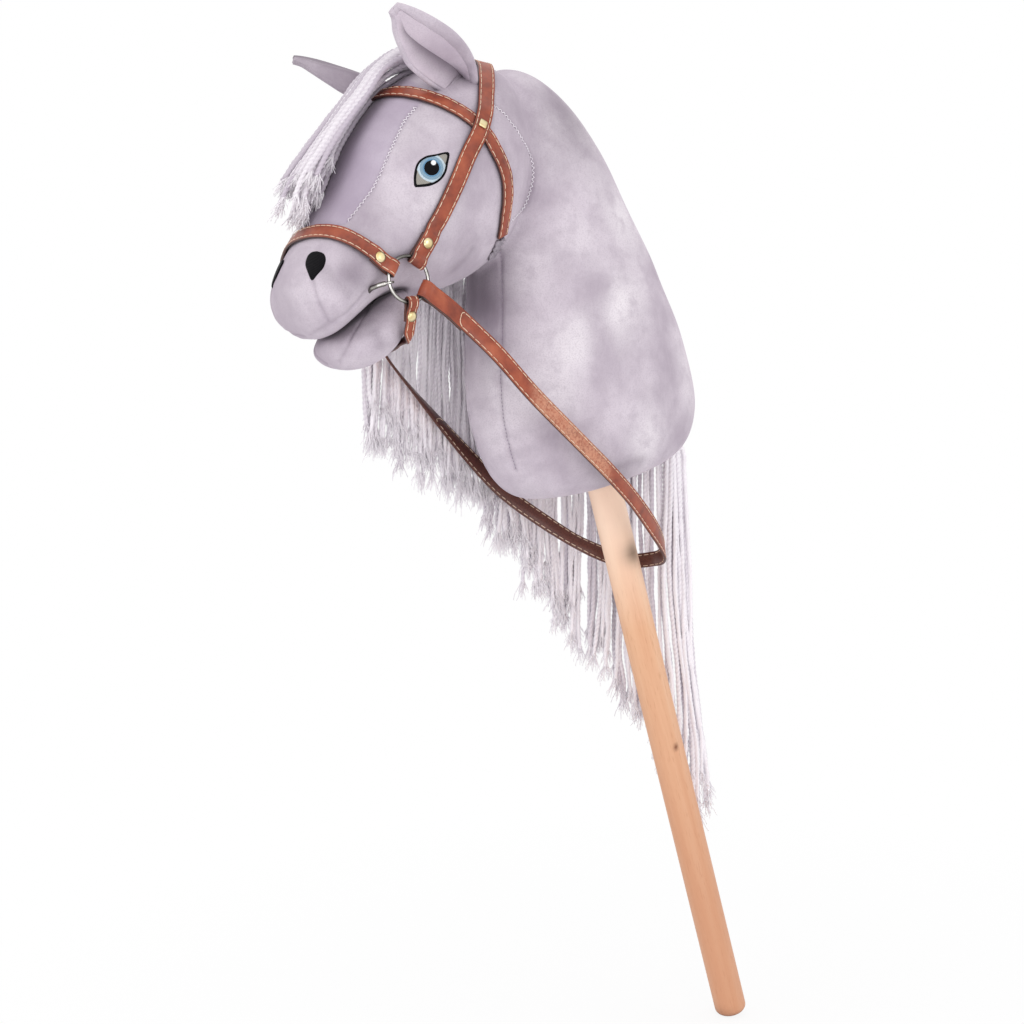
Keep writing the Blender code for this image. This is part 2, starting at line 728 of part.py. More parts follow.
def add_ring_strap(name, skin, ring, angle, fold, route, width, parts, rise=no_rise, bend=0.0):
    """A strap from ring to ring round the head, and the seat of its left rivet."""
    rows, rivet_seat = ring.fold_rows(skin, angle, fold, width, bend=bend)
    last = rows[-1]
    onwards = (last[1] - rows[-2][1]).normalized() * STRAP_STEP
    controls = [last[1], last[1] + onwards, *(Vector(point) for point in route)]
    rows.extend(skin_rows(skin, controls, width, rise, start=last)[1:])
    rows.extend(mirrored_rows(rows))
    return add_strap(name, rows, parts), rivet_seat


def add_tabs(skin, parts):
    """The cloth tabs at the ends of the throat strap."""
    rows = skin_rows(skin, TAB_ROUTE, TAB_WIDTH, no_rise)
    for side_name, side in SIDES:
        name = "throat_tab_" + side_name
        sided = rows
        if side > 0.0:
            sided = [[mirrored(point) for point in reversed(row)] for row in rows]
        tab = add_object(name, strap_mesh(name, sided), parts, **LINING)
        add_solidify(tab, TAB_THICKNESS)


def add_rivet(name, head, radius, facets, place, stack, straps, parts, cutters):
    """A rivet through a stack of leather; its head sits on the outer face."""
    shank = RIVET_SHANK / 2.0
    profile = [*head, (radius, GAP), (shank, GAP), (shank, -stack), (0.0, -stack)]
    rivet = add_turned(name, profile, facets, parts, **BRASS)
    rivet.matrix_world = place
    depth = stack * 2.0 + RIVET_RISE
    hole_radius = shank + SHANK_CLEARANCE
    pressed = radius + GAP
    hole = add_turned(name + "_hole", ((0.0, depth), (pressed, depth), (pressed, RIVET_PRESS),
                                       (hole_radius, RIVET_PRESS), (hole_radius, -depth),
                                       (0.0, -depth)), RIVET_FACETS, cutters)
    hole.matrix_world = place
    hide_cutter(hole)
    for strap in straps:
        add_boolean(strap, hole)


def add_torus(name, place, axis, major, minor, steps, collection, **look):
    """A closed ring of round wire."""
    bm = bmesh.new()
    around, section = steps
    rows = []
    for index in range(around):
        turn = 2.0 * math.pi * index / around
        spoke = Vector((math.cos(turn), math.sin(turn), 0.0))
        row = []
        for side in range(section):
            angle = 2.0 * math.pi * side / section
            point = spoke * (major + minor * math.cos(angle))
            point.z = minor * math.sin(angle)
            row.append(bm.verts.new(point))
        rows.append(row)
    for index in range(around):
        first = rows[index]
        second = rows[(index + 1) % around]
        for side in range(section):
            after = (side + 1) % section
            bm.faces.new((first[side], second[side], second[after], first[after]))
    mesh = bpy.data.meshes.new(name)
    bm.to_mesh(mesh)
    bm.free()
    mesh.shade_smooth()
    if look:
        torus = add_object(name, mesh, collection, **look)
    else:
        torus = bpy.data.objects.new(name, mesh)
        collection.objects.link(torus)
    turn = Vector((0.0, 0.0, 1.0)).rotation_difference(Vector(axis)).to_matrix().to_4x4()
    torus.matrix_world = Matrix.Translation(place) @ turn
    return torus


def add_rings(ring, parts):
    for side_name, side in SIDES:
        place = Vector((ring.x, side * ring.side, ring.z))
        add_torus("ring_" + side_name, place, (0.0, 1.0, 0.0), ring.radius, RING_WIRE / 2.0,
                  RING_FACETS, parts, **NICKEL)


def tube_mesh_object(name, points, radius, collection):
    """A mesh tube along a poly line, with its caps welded."""
    curve = bpy.data.curves.new(name, "CURVE")
    curve.dimensions = "3D"
    curve.bevel_depth = radius
    curve.bevel_resolution = 2
    curve.use_fill_caps = True
    spline = curve.splines.new("POLY")
    spline.points.add(len(points) - 1)
    for target, point in zip(spline.points, points):
        target.co = (*point, 1.0)
    guide = bpy.data.objects.new(name + "_guide", curve)
    collection.objects.link(guide)
    bpy.context.view_layer.update()
    evaluated = guide.evaluated_get(bpy.context.evaluated_depsgraph_get())
    mesh = bpy.data.meshes.new_from_object(evaluated)
    bm = bmesh.new()
    bm.from_mesh(mesh)
    bmesh.ops.remove_doubles(bm, verts=bm.verts, dist=0.00002)
    bmesh.ops.recalc_face_normals(bm, faces=bm.faces)
    bm.to_mesh(mesh)
    bm.free()
    mesh.name = name
    mesh.materials.clear()
    obj = bpy.data.objects.new(name, mesh)
    collection.objects.link(obj)
    obj.matrix_world = guide.matrix_world.copy()
    bpy.data.objects.remove(guide, do_unlink=True)
    return obj


def add_bit(ring, forms, parts, cutters):
    """The mouthpiece: a bar through the mouth with an eye round each ring's wire."""
    out = Vector((math.cos(BIT_ANGLE), 0.0, math.sin(BIT_ANGLE)))
    wire = Vector((ring.x, -ring.side, ring.z)) + out * ring.radius
    eye_radius = RING_WIRE / 2.0 + RUNNING_GAP + BIT_EYE_WIRE / 2.0
    start = wire + out * eye_radius
    half = [start, *(Vector(point) for point in BIT_ROUTE)]
    route = spline_points([*half, *(mirrored(point) for point in reversed(half[:-1]))],
                          BIT_STEP)
    bit = tube_mesh_object("bit", route, BIT_WIRE / 2.0, parts)
    bit.data.materials.append(new_material("bit", **NICKEL))
    tangent = out.cross(Vector((0.0, 1.0, 0.0)))
    for name, place in (("bit_eye_near", wire), ("bit_eye_far", mirrored(wire))):
        eye = add_torus(name, place, tangent, eye_radius, BIT_EYE_WIRE / 2.0, BIT_EYE_FACETS,
                        cutters)
        hide_cutter(eye)
        add_boolean(bit, eye, "UNION")
    channel = tube_mesh_object("bit_channel", route, BIT_WIRE / 2.0 + GAP, cutters)
    hide_cutter(channel)
    for name in ("head", "lower_jaw"):
        add_boolean(forms[name], channel, solver="MANIFOLD")


def stick_axis_point(point):
    along = Vector((-math.sin(STICK_LEAN), 0.0, math.cos(STICK_LEAN)))
    return along * point.dot(along)


def rein_frames(points):
    """The way across the rein at each of its points: it keeps its face to the horse."""
    rows = []
    for point, tangent in zip(points, tangents(points)):
        outward = point - stick_axis_point(point)
        flat = smooth_step((outward.length - REIN_TURN_NEAR) / REIN_TURN_LENGTH)
        side = Vector((0.0, math.copysign(1.0, point.y), 0.0))
        normal = outward.normalized().lerp(side, flat)
        if point.y > 0.0:
            share = (point.z - REIN_TWIST_BOTTOM) / (REIN_TWIST_TOP - REIN_TWIST_BOTTOM)
            twist = REIN_TWIST * smooth_step(share)
            normal = Matrix.Rotation(twist, 3, tangent) @ normal
        across = tangent.cross(normal).normalized()
        rows.append(strap_row(point, across, REIN_WIDTH))
    return rows


def add_rein(ring, skin, parts):
    rows, _ = ring.fold_rows(skin, REIN_ANGLE, REIN_FOLD, REIN_WIDTH, on_skin=False,
                             bend=REIN_BEND)
    first = rows[-1][1]
    route = [first, *(Vector(point) for point in REIN_ROUTE), mirrored(first)]
    middle = rein_frames(spline_points(route, REIN_STEP))[1:-1]
    far = [[mirrored(point) for point in row] for row in reversed(rows)]
    rein = add_strap("rein", rows + middle + far, parts)
    pivot = Vector((ring.x, 0.0, ring.z))
    rein.data.transform(Matrix.Translation(-pivot))
    rein.matrix_world = Matrix.Translation(pivot)


def ear_frame():
    base, tip, opening = (Vector(value) for value in (EAR_BASE, EAR_TIP, EAR_OPENS))
    length = tip - base
    up = length.normalized()
    opening = (opening - up * opening.dot(up)).normalized()
    return base, up, opening, up.cross(opening), length.length


def ear_point(frame, row, share):
    """A point of the ear's cloth at a row, from its front edge (-1) to its rear edge (1)."""
    base, up, opening, across, length = frame
    index = min(int(row), len(EAR_ROWS) - 2)
    front, crease, rear = (Vector(first).lerp(Vector(second), row - index)
                           for first, second in zip(EAR_ROWS[index], EAR_ROWS[index + 1]))
    height, sideways, depth = crease.lerp(rear if share > 0.0 else front, abs(share))
    return base + up * (length * height) + across * sideways + opening * depth


def ear_grid(frame, first_row, last_row, rows, reach, columns):
    """Evenly spread points of the ear's cloth."""
    return [[ear_point(frame, mix(first_row, last_row, row / (rows - 1.0)),
                       reach * (2.0 * column / (columns - 1.0) - 1.0))
             for column in range(columns)] for row in range(rows)]


def moved_into_cup(grid, opening, distance):
    """The points of the ear's cloth, moved square to it into its hollow."""
    moved = []
    for row_number, row in enumerate(grid):
        before = grid[max(row_number - 1, 0)]
        after = grid[min(row_number + 1, len(grid) - 1)]
        moved.append([])
        for column, point in enumerate(row):
            sideways = row[min(column + 1, len(row) - 1)] - row[max(column - 1, 0)]
            normal = sideways.cross(after[column] - before[column]).normalized()
            moved[-1].append(point + normal * math.copysign(distance, normal.dot(opening)))
    return moved


def add_ears(head_cutter, parts):
    """Each ear is a folded cloth with a lining in its hollow."""
    frame = ear_frame()
    cloth = ear_grid(frame, 0.0, len(EAR_ROWS) - 1.0, len(EAR_ROWS), 1.0, EAR_ACROSS)
    inner = ear_grid(frame, EAR_LINING_FROM, EAR_LINING_TO, EAR_LINING_ROWS,
                     EAR_LINING_REACH, EAR_LINING_ACROSS)
    lining = moved_into_cup(inner, frame[2], (EAR_THICKNESS + EAR_LINING) / 2.0 + EAR_LINING_GAP)
    for label, rows, thickness, look in (("ear_", cloth, EAR_THICKNESS, PLUSH),
                                         ("ear_lining_", lining, EAR_LINING, LINING)):
        for side_name, side in SIDES:
            name = label + side_name
            sided = rows if side < 0.0 else [[mirrored(point) for point in row] for row in rows]
            piece = add_object(name, strap_mesh(name, sided), parts, **look)
            add_solidify(piece, thickness, 0.0)
            add_subdivision(piece, 1)
            add_boolean(piece, head_cutter)


def patch_outline(length, height, pointed, drop):
    """An almond, or with a drop an outline that narrows towards one end."""
    outline = []
    for index in range(PATCH_CORNERS):
        angle = 2.0 * math.pi * index / PATCH_CORNERS
        reach = height / 2.0 * abs(math.sin(angle)) ** pointed * (1.0 - drop * math.cos(angle))
        outline.append((length / 2.0 * math.cos(angle), math.copysign(reach, math.sin(angle))))
    return outline


def add_patch(name, side, skin, center, tilt, outline, parts, color):
    """An embroidered patch that follows the skin."""
    middle, normal = skin.around_head(Vector(center))
    along = Vector((math.cos(tilt), 0.0, math.sin(tilt)))
    along = (along - normal * along.dot(normal)).normalized()
    height = normal.cross(along)
    bm = bmesh.new()

    def on_skin(first, second):
        origin = middle + along * first + height * second + normal * PATCH_REACH
        location, _ = skin.cast(origin, -normal)
        point = location + normal * PATCH_SEAT
        return bm.verts.new(point if side < 0.0 else mirrored(point))

    hub = on_skin(0.0, 0.0)
    rows = [[on_skin(first * share, second * share) for first, second in outline]
            for share in PATCH_RINGS]
    for index in range(len(outline)):
        after = (index + 1) % len(outline)
        bm.faces.new((hub, rows[0][index], rows[0][after]))
        for first, second in zip(rows, rows[1:]):
            bm.faces.new((first[index], second[index], second[after], first[after]))
    if side > 0.0:
        bmesh.ops.reverse_faces(bm, faces=bm.faces)
    mesh = bpy.data.meshes.new(name)
    bm.to_mesh(mesh)
    bm.free()
    patch = add_object(name, mesh, parts, color=color, roughness=0.8)
    add_solidify(patch, PATCH_THICKNESS)


def add_embroidery(skin, parts):
    eye = patch_outline(EYE_LENGTH, EYE_HEIGHT, EYE_POINTED, 0.0)
    nostril = patch_outline(NOSTRIL_LENGTH, NOSTRIL_WIDTH, NOSTRIL_POINTED, NOSTRIL_DROP)
    for side_name, side in SIDES:
        add_patch("eye_" + side_name, side, skin, EYE_CENTER, EYE_TILT, eye, parts,
                  (0.35, 0.55, 0.75))
        add_patch("nostril_" + side_name, side, skin, NOSTRIL_CENTER, NOSTRIL_TILT, nostril,
                  parts, (0.03, 0.03, 0.035))


def add_forelock(head_cutter, parts):
    stations = [(*station, 0.0) for station in FORELOCK_STATIONS]
    mesh = soft_mesh("forelock", profile_rings(stations, FORELOCK_WIDTH))
    forelock = add_object("forelock", mesh, parts, **YARN)
    add_subdivision(forelock, 1)
    add_boolean(forelock, head_cutter)


def mane_rows(skin):
    """The mane's inner face, from the crest down to the ends of the yarn."""
    columns = []
    for index, (x, top, end) in enumerate(MANE_COLUMNS):
        column = []
        side = MANE_OFF_SKIN
        heights = [mix(top, end, (row / (MANE_ROWS - 1.0)) ** MANE_ROWS_CROWD)
                   for row in range(MANE_ROWS)]
        for z, next_z in zip(heights, heights[1:] + heights[-1:]):
            reach = max(skin.half_width(x, z), skin.half_width(x, next_z))
            if reach > 0.0:
                side = max(side, reach + MANE_OFF_SKIN)
            if x < MANE_BESIDE_REIN:
                fallen = smooth_step((MANE_FALLS_FROM - z) / MANE_FALLS_OVER)
                side = max(side, (REIN_SIDE + LEATHER + MANE_TO_REIN) * fallen)
            lock = MANE_LOCK_DEPTH * (index % 2)
            column.append(Vector((x, side + lock, z)))
        if x > MANE_SEWN_FROM and skin.half_width(x, top) > 0.0:
            column[0].y = skin.half_width(x, top) - MANE_SEWN_DEPTH
        columns.append(column)
    return [[column[row] for column in columns] for row in range(MANE_ROWS)]


def add_mane(skin, neck_cutter, parts):
    mane = add_object("mane", strap_mesh("mane", mane_rows(skin)), parts, **YARN)
    add_solidify(mane, MANE_THICKNESS)
    add_boolean(mane, neck_cutter)


def rivet_place(point, outward, along=None):
    """The frame of a rivet; a square one has its sides along the direction given."""
    turn = Vector((0.0, 0.0, 1.0)).rotation_difference(outward).to_matrix()
    spin = 0.0
    if along is not None:
        local = turn.transposed() @ along
        spin = math.atan2(local.y, local.x) + math.pi / PLATE_FACETS
    turn = turn @ Matrix.Rotation(spin, 3, "Z")
    return Matrix.Translation(point) @ turn.to_4x4()


def add_rivets(skin, straps, rivet_seats, parts, cutters):
    """Domed rivets in the turned back leather, square ones where the browband is crossed."""
    stack = LEATHER * 2.0 + GAP
    radius = RIVET_HEAD / 2.0
    dome = arc_profile(radius, GAP + RIVET_RISE, RIVET_RISE, RIVET_ARC)[:-1]
    for label, strap, (point, normal) in rivet_seats:
        outer = point + normal * LEATHER
        for side_name, place in (("near", rivet_place(outer, normal)),
                                 ("far", rivet_place(mirrored(outer), mirrored(normal)))):
            add_rivet(label + "_rivet_" + side_name, [*dome, (radius, GAP + RIVET_EDGE)], radius,
                      RIVET_FACETS, place, stack, (strap,), parts, cutters)
    location, normal = skin.around_head(Vector((CROSSING[0], -HEAD_WIDTH / 2.0, CROSSING[1])))
    outer = location + normal * (STRAP_SEAT + stack)
    corner = PLATE_WIDTH / math.sqrt(2.0)
    top = GAP + RIVET_RISE / 2.0
    plate = ((0.0, top), (corner - PLATE_BEVEL, top), (corner, top - PLATE_BEVEL / 2.0))
    along = Vector(CROWN_ROUTE[4]) - Vector(CROWN_ROUTE[2])
    for side_name, place in (("near", rivet_place(outer, normal, along)),
                             ("far", rivet_place(mirrored(outer), mirrored(normal),
                                                 mirrored(along)))):
        add_rivet("brow_rivet_" + side_name, plate, corner, PLATE_FACETS, place, stack, straps,
                  parts, cutters)


def build():
    clear_scene()
    parts = new_collection(COLLECTION)
    cutters = new_collection(CUTTERS)
    add_stick(parts)
    forms, skin, head_skin, head_cutter, neck_cutter = add_forms(parts, cutters)
    ring = Ring(skin)
    crown, cheek_rivet = add_ring_strap("crown_strap", skin, ring, CHEEK_ANGLE, CHEEK_FOLD,
                                        CROWN_ROUTE, CHEEK_STRAP_WIDTH, parts,
                                        rise=crossing_rise)
    nose, nose_rivet = add_ring_strap("noseband", skin, ring, NOSE_ANGLE, NOSE_FOLD,
                                      NOSE_ROUTE, HEAD_STRAP_WIDTH, parts, bend=NOSE_BEND)
    chin, chin_rivet = add_ring_strap("chin_strap", skin, ring, CHIN_ANGLE, CHIN_FOLD,
                                      CHIN_ROUTE, CHIN_STRAP_WIDTH, parts)
    rows = skin_rows(skin, BROW_ROUTE, HEAD_STRAP_WIDTH, no_rise)
    rows.extend(mirrored_rows(rows))
    brow = add_strap("brow_and_throat_strap", rows, parts)
    add_tabs(head_skin, parts)
    add_rings(ring, parts)
    add_bit(ring, forms, parts, cutters)
    add_rein(ring, skin, parts)
    add_rivets(skin, (crown, brow),
               (("cheek", crown, cheek_rivet), ("nose", nose, nose_rivet),
                ("chin", chin, chin_rivet)), parts, cutters)
    add_ears(head_cutter, parts)
    add_embroidery(skin, parts)
    add_forelock(head_cutter, parts)
    add_mane(skin, neck_cutter, parts)


build()
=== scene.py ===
"""Looks of a hobby horse: plush head and neck, yarn mane, leather bridle, beech stick.

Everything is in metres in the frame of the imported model: the horse looks along -X, its
left side is -Y, and the origin is the middle of the stick's foot.
"""

import math
import random

import bmesh
import bpy
from mathutils import Matrix, Vector, kdtree, noise
from mathutils.bvhtree import BVHTree


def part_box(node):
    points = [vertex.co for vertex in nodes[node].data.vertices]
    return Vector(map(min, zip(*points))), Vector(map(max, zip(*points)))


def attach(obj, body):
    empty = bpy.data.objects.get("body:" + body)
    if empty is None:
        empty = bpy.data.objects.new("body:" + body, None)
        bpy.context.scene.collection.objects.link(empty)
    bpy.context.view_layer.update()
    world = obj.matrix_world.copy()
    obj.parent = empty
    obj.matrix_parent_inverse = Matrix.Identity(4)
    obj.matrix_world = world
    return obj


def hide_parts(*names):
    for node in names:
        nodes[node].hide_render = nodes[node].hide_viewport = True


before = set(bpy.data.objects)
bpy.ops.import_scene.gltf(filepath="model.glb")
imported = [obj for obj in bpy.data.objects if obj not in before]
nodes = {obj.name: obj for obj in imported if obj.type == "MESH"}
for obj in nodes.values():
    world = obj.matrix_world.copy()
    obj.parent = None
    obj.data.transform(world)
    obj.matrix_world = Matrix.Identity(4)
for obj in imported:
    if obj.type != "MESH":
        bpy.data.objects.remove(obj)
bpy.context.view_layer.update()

MM = 0.001
SEED = 7
HORSE = "horse"
REIN_BODY = "rein_strap"
UP = Vector((0.0, 0.0, 1.0))
SIDES = (("near", -1.0), ("far", 1.0))

# The photograph: its size, its focal length in pixels and the pixel of the stick's foot
PHOTO_SIZE = 1024.0
PHOTO_FOCAL = 1390.5
PHOTO_FOOT = (731.0, 1009.0)

# Camera
SENSOR = 36.0
CAMERA_AZIMUTH = math.radians(-36.0)
CAMERA_ELEVATION = math.radians(2.0)
CAMERA_DISTANCE = 1.35

# Plush skin
SKIN_VOXEL = 2.6 * MM
SKIN_SMOOTHING = 16
JAW_VOXEL = 2.0 * MM
JAW_SMOOTHING = 10
LINING_VOXEL = 0.6 * MM
LINING_SMOOTHING = 3
LUMP_SIZE = 46 * MM
LUMP_DEPTH = 1.2 * MM
TAB_CRUMPLE = 1.9 * MM
TAB_CRUMPLE_SIZE = 6.0 * MM
PUCKER_SIZE = 8 * MM
PUCKER_DEPTH = 0.45 * MM
PUCKER_REACH = 14 * MM
SEAM_WIDTH = 2.0 * MM
SEAM_DEPTH = 1.1 * MM
DAPPLE_SCALE = 13.0
# How far each step of the seed shifts the lumps and puckers, in sizes of them
SEED_SHIFT = (3.7, 1.3, 2.1)

# Seams of the skin, as pixels of the photograph; the right side mirrors them
FACE_SEAM = ((416, 106), (405, 119), (395, 139), (385, 161), (373, 187), (359, 205), (346, 222))
POLL_SEAM = ((493, 105), (505, 114), (518, 130), (528, 148), (533, 165), (532, 185), (524, 207),
             (511, 222))
NECK_SEAM = ((500, 241), (501, 260), (502, 300), (502, 335), (500, 376), (503, 417), (509, 447),
             (515, 470))
MUZZLE_SEAM = ((312, 280), (318, 302), (330, 325))
LIP_SEAM = ((311, 335), (328, 325), (349, 311), (366, 291))
JAW_SEAM = ((375, 296), (364, 315), (352, 335), (344, 352), (339, 362))
# Soft wrinkles without a seam
BODY_WRINKLES = (((325, 270), (336, 280), (350, 292)), ((352, 276), (362, 283), (370, 288)),
                 ((620, 468), (632, 462), (642, 461)), ((455, 268), (466, 259), (474, 248)))
JAW_WRINKLES = (((374, 331), (379, 338), (382, 346)),)
WRINKLE_SHARE = 0.45
WRINKLE_WIDTH = SEAM_WIDTH * 1.6
# Painted shade beside the wrinkles: its strength and its width
WRINKLE_SHADE = 0.30
WRINKLE_SHADE_WIDTH = 7 * MM
# Where painted shade lies on the skin: pixel, reach and strength; the right side mirrors it
SHADE_SPOTS = (((474, 300), 30 * MM, 0.95), ((492, 345), 26 * MM, 0.44), ((352, 274), 13 * MM, 0.52),
               ((385, 268), 12 * MM, 0.25), ((572, 118), 36 * MM, 0.58), ((512, 100), 26 * MM, 0.22),
               ((398, 122), 24 * MM, 0.14), ((372, 215), 26 * MM, 0.12),
               ((494, 262), 16 * MM, 0.30), ((470, 250), 20 * MM, 0.14))
# How near the other lip lies where painted shade darkens the mouth's slit, and how fast it deepens
MOUTH_REACH = 5 * MM
MOUTH_DARKENING = 1.4

# The gusset's cloth: how far it reaches past the ends of the face seams, where it ends at
# the back, how far behind the seam it fades out and over what length, and its edge's width
GUSSET_BELOW = 0.004
GUSSET_ABOVE = 0.03
GUSSET_BACK_X = -0.335
GUSSET_BEHIND_SEAM = 0.012
GUSSET_FADE = 0.004
GUSSET_EDGE = 0.0015

# Seam stitches
SEAM_THREAD = 0.34 * MM
RUN_THREAD = SEAM_THREAD * 0.8
SEAM_THREAD_SIDES = 5
ZIGZAG_WIDTH = 2.2 * MM
ZIGZAG_STEP = 1.8 * MM
HOLE_STEP = 3.2 * MM

# Height on the stick at which its colour turns from deeper to paler
STICK_DEEPER_UP_TO = 0.50

# Leather
STRAP_SMOOTH_STEP = 1.6 * MM
STITCH_INSET = 1.9 * MM
STITCH_LENGTH = 5.9 * MM
STITCH_PITCH = 6.5 * MM
STITCH_THREAD = 0.34 * MM
STITCH_THREAD_SIDES = 6
# Share of a strap's thickness at which its stitches lie
STITCH_LEVEL = 0.92
U_TURN_DEPTH = 3.2 * MM
U_TURN_POINTS = 60
U_TURN_STITCH = 15
# How far from either end of the rein its long rows of stitches begin
REIN_STITCH_FROM = 96 * MM
# Where the rein is rubbed, as lengths from its left end, and how softly that begins
REIN_WORN = (172 * MM, 292 * MM)
WORN_FADE = 0.02
# A point inside the head that the straps and rivets face away from
HEAD_CENTER = Vector((-0.37, 0.0, 0.72))

# Depth below a rivet's top where only its shank is left
RIVET_SHANK_BELOW = 3.0 * MM

# Yarn
YARN_RADIUS = 2.25 * MM
YARN_TWIST = 9.0 * MM
YARN_STEP = 1.3 * MM
YARN_SIDES = 8
# The mane's strands: their spacing, and each layer's depth below the solid's outer side
MANE_PITCH = 4.5 * MM
MANE_LAYERS = (1.6 * MM, 4.2 * MM, 6.8 * MM)
FRAY_LENGTH = 21 * MM
FRAY_FIBRES = 26
FRAY_RADIUS = 0.56 * MM
FRAY_SIDES = 4
FRAY_STEPS = 5
FRAY_WAVE = 1.0 * MM
# How far the mane's rear flares out at its ends, where that begins and how soon it is full
MANE_FLARE = 22 * MM
MANE_FLARE_FROM_X = -0.100
MANE_FLARE_FULL_AFTER = 0.045
MANE_PATH_POINTS = 22
# How much higher than the solid's lower edge strands end, and their sideways drift
MANE_END_RANGE = (-0.006, 0.028)
MANE_DRIFT = 0.009
# Gaps between the strands' middles and the solid's front, rear and top
MANE_FRONT_GAP = 0.003
MANE_REAR_GAP = 0.002
MANE_TOP_GAP = 0.003
# Half the width over which the solid's height is taken, and a strand's largest step inwards
MANE_WINDOW = 0.0105
MANE_STEP_IN = 0.0015
# Width of a lock of strands that sways as one, how far in millimetres, and each layer's tone
MANE_LOCK = 12 * MM
MANE_LOCK_SWAY = 9.0
MANE_LAYER_TONES = (0.72, 0.98, 1.14)

# Embroidery, as pixels of the photograph
EYE_CENTER = (431.4, 168.3)
EYE_OUTLINE = ((414.2, 187.4), (413.8, 176.0), (417.0, 163.5), (425.0, 156.6), (436.0, 154.2),
               (448.8, 152.4), (448.0, 163.5), (445.5, 173.5), (439.0, 181.5), (428.5, 186.2))
EYE_BORDER = 2.6
NOSTRIL_CENTER = (316.5, 262.5)
NOSTRIL_OUTLINE = ((317.0, 251.3), (323.5, 253.6), (325.8, 259.5), (323.6, 267.5), (317.6, 274.5),
                   (312.0, 280.5), (308.2, 273.0), (305.6, 264.5), (307.6, 256.6), (311.8, 252.4))

# Colours, as screen values from 0 to 255: light, middle and dark, then a plush's sheen
PLUSHES = {"plush": ((231, 225, 230), (203, 193, 203), (168, 156, 169)),
           "lining": ((232, 222, 231), (208, 196, 207), (180, 166, 180)),
           "tab": ((176, 168, 176), (148, 140, 149), (112, 105, 114), 0.1)}
# What the mesh marks on the plush, how strongly it shows and its colour
# The gusset is darker cloth; crease and shade are painted shade, in the grooves and where shade falls
PLUSH_MARKS = (("gusset", 0.55, (172, 158, 180)), ("crease", 0.24, (120, 106, 122)),
               ("shade", 0.78, (84, 72, 84)))
THREADS = {"cream_thread": ((242, 218, 192), (214, 184, 156)),
           "seam_thread": ((250, 246, 250), (228, 220, 230)),
           "dark_thread": ((164, 150, 168), (136, 122, 140))}
# Embroidery: colour, shade, the threads' angle in radians and for one its gloss
SATINS = {"black_thread": ((22, 20, 24), (6, 6, 8), 0.6, 0.05),
          "taupe_thread": ((166, 162, 154), (124, 120, 114), 0.9),
          "pale_thread": ((206, 218, 226), (164, 186, 200), 0.2),
          "blue_thread": ((148, 174, 192), (98, 134, 160), 1.1),
          "deep_blue_thread": ((110, 158, 192), (66, 108, 144), 0.5),
          "white_thread": ((252, 252, 252), (220, 224, 230), 0.7)}
# Metal, in linear values: colour, roughness, colour of its spots, how far turned from the eye
# its painted reflection begins and ends to darken, and how strongly it shows a painted room
METALS = {"nickel": ((0.86, 0.84, 0.81, 1.0), 0.20, (0.62, 0.60, 0.57, 1.0), 0.04, 0.20, 0.75),
          "brass": ((0.95, 0.82, 0.50, 1.0), 0.24, (0.78, 0.60, 0.28, 1.0), 0.22, 0.62, 0.15)}


def paint(red, green, blue):
    """A colour given as screen values from 0 to 255."""
    linear = []
    for value in (red, green, blue):
        value /= 255.0
        linear.append(value / 12.92 if value <= 0.04045 else ((value + 0.055) / 1.055) ** 2.4)
    return (*linear, 1.0)


def as_color(value):
    """One number is a grey, three are screen values from 0 to 255, and all else stays."""
    if isinstance(value, float):
        return (value, value, value, 1.0)
    return paint(*value) if isinstance(value, tuple) and len(value) == 3 else value


def mix(first, second, share):
    return first * (1.0 - share) + second * share


def smooth_step(value):
    value = min(1.0, max(0.0, value))
    return value * value * (3.0 - 2.0 * value)


def bell(distance, width):
    """1 at no distance, and fading to 0 over about twice a width."""
    return math.exp(-(distance / width) ** 2)


def mirrored(point):
    return Vector((point[0], -point[1], point[2]))


def circle(count):
    """Angles that are evenly spread round a circle."""
    return [2.0 * math.pi * index / count for index in range(count)]


def new_object(name, data):
    made = bpy.data.objects.new(name, data)
    bpy.context.scene.collection.objects.link(made)
    return made


# Camera


def camera_axes():
    """The camera's right, up and back directions."""
    back = Vector((math.sin(CAMERA_AZIMUTH) * math.cos(CAMERA_ELEVATION),
                   -math.cos(CAMERA_AZIMUTH) * math.cos(CAMERA_ELEVATION),
                   math.sin(CAMERA_ELEVATION)))
    right = Vector((math.cos(CAMERA_AZIMUTH), math.sin(CAMERA_AZIMUTH), 0.0))
    return right, back.cross(right), back


def camera_place():
    """Where the camera stands, so that the stick's foot falls on its pixel."""
    right, up, back = camera_axes()
    middle = PHOTO_SIZE / 2.0
    return (back * CAMERA_DISTANCE
            - right * ((PHOTO_FOOT[0] - middle) * CAMERA_DISTANCE / PHOTO_FOCAL)
            + up * ((PHOTO_FOOT[1] - middle) * CAMERA_DISTANCE / PHOTO_FOCAL))


def add_camera():
    data = bpy.data.cameras.new("camera")
    data.sensor_width = SENSOR
    data.sensor_fit = "HORIZONTAL"
    data.lens = PHOTO_FOCAL / PHOTO_SIZE * SENSOR
    camera = new_object("camera", data)
    turn = Matrix(camera_axes()).transposed().to_4x4()
    camera.matrix_world = Matrix.Translation(camera_place()) @ turn
    bpy.context.scene.camera = camera


def pixel_ray(pixel):
    """Start and direction of the line of sight through a pixel of the photograph."""
    right, up, back = camera_axes()
    middle = PHOTO_SIZE / 2.0
    direction = right * (pixel[0] - middle) - up * (pixel[1] - middle) - back * PHOTO_FOCAL
    return camera_place(), direction.normalized()


# Materials


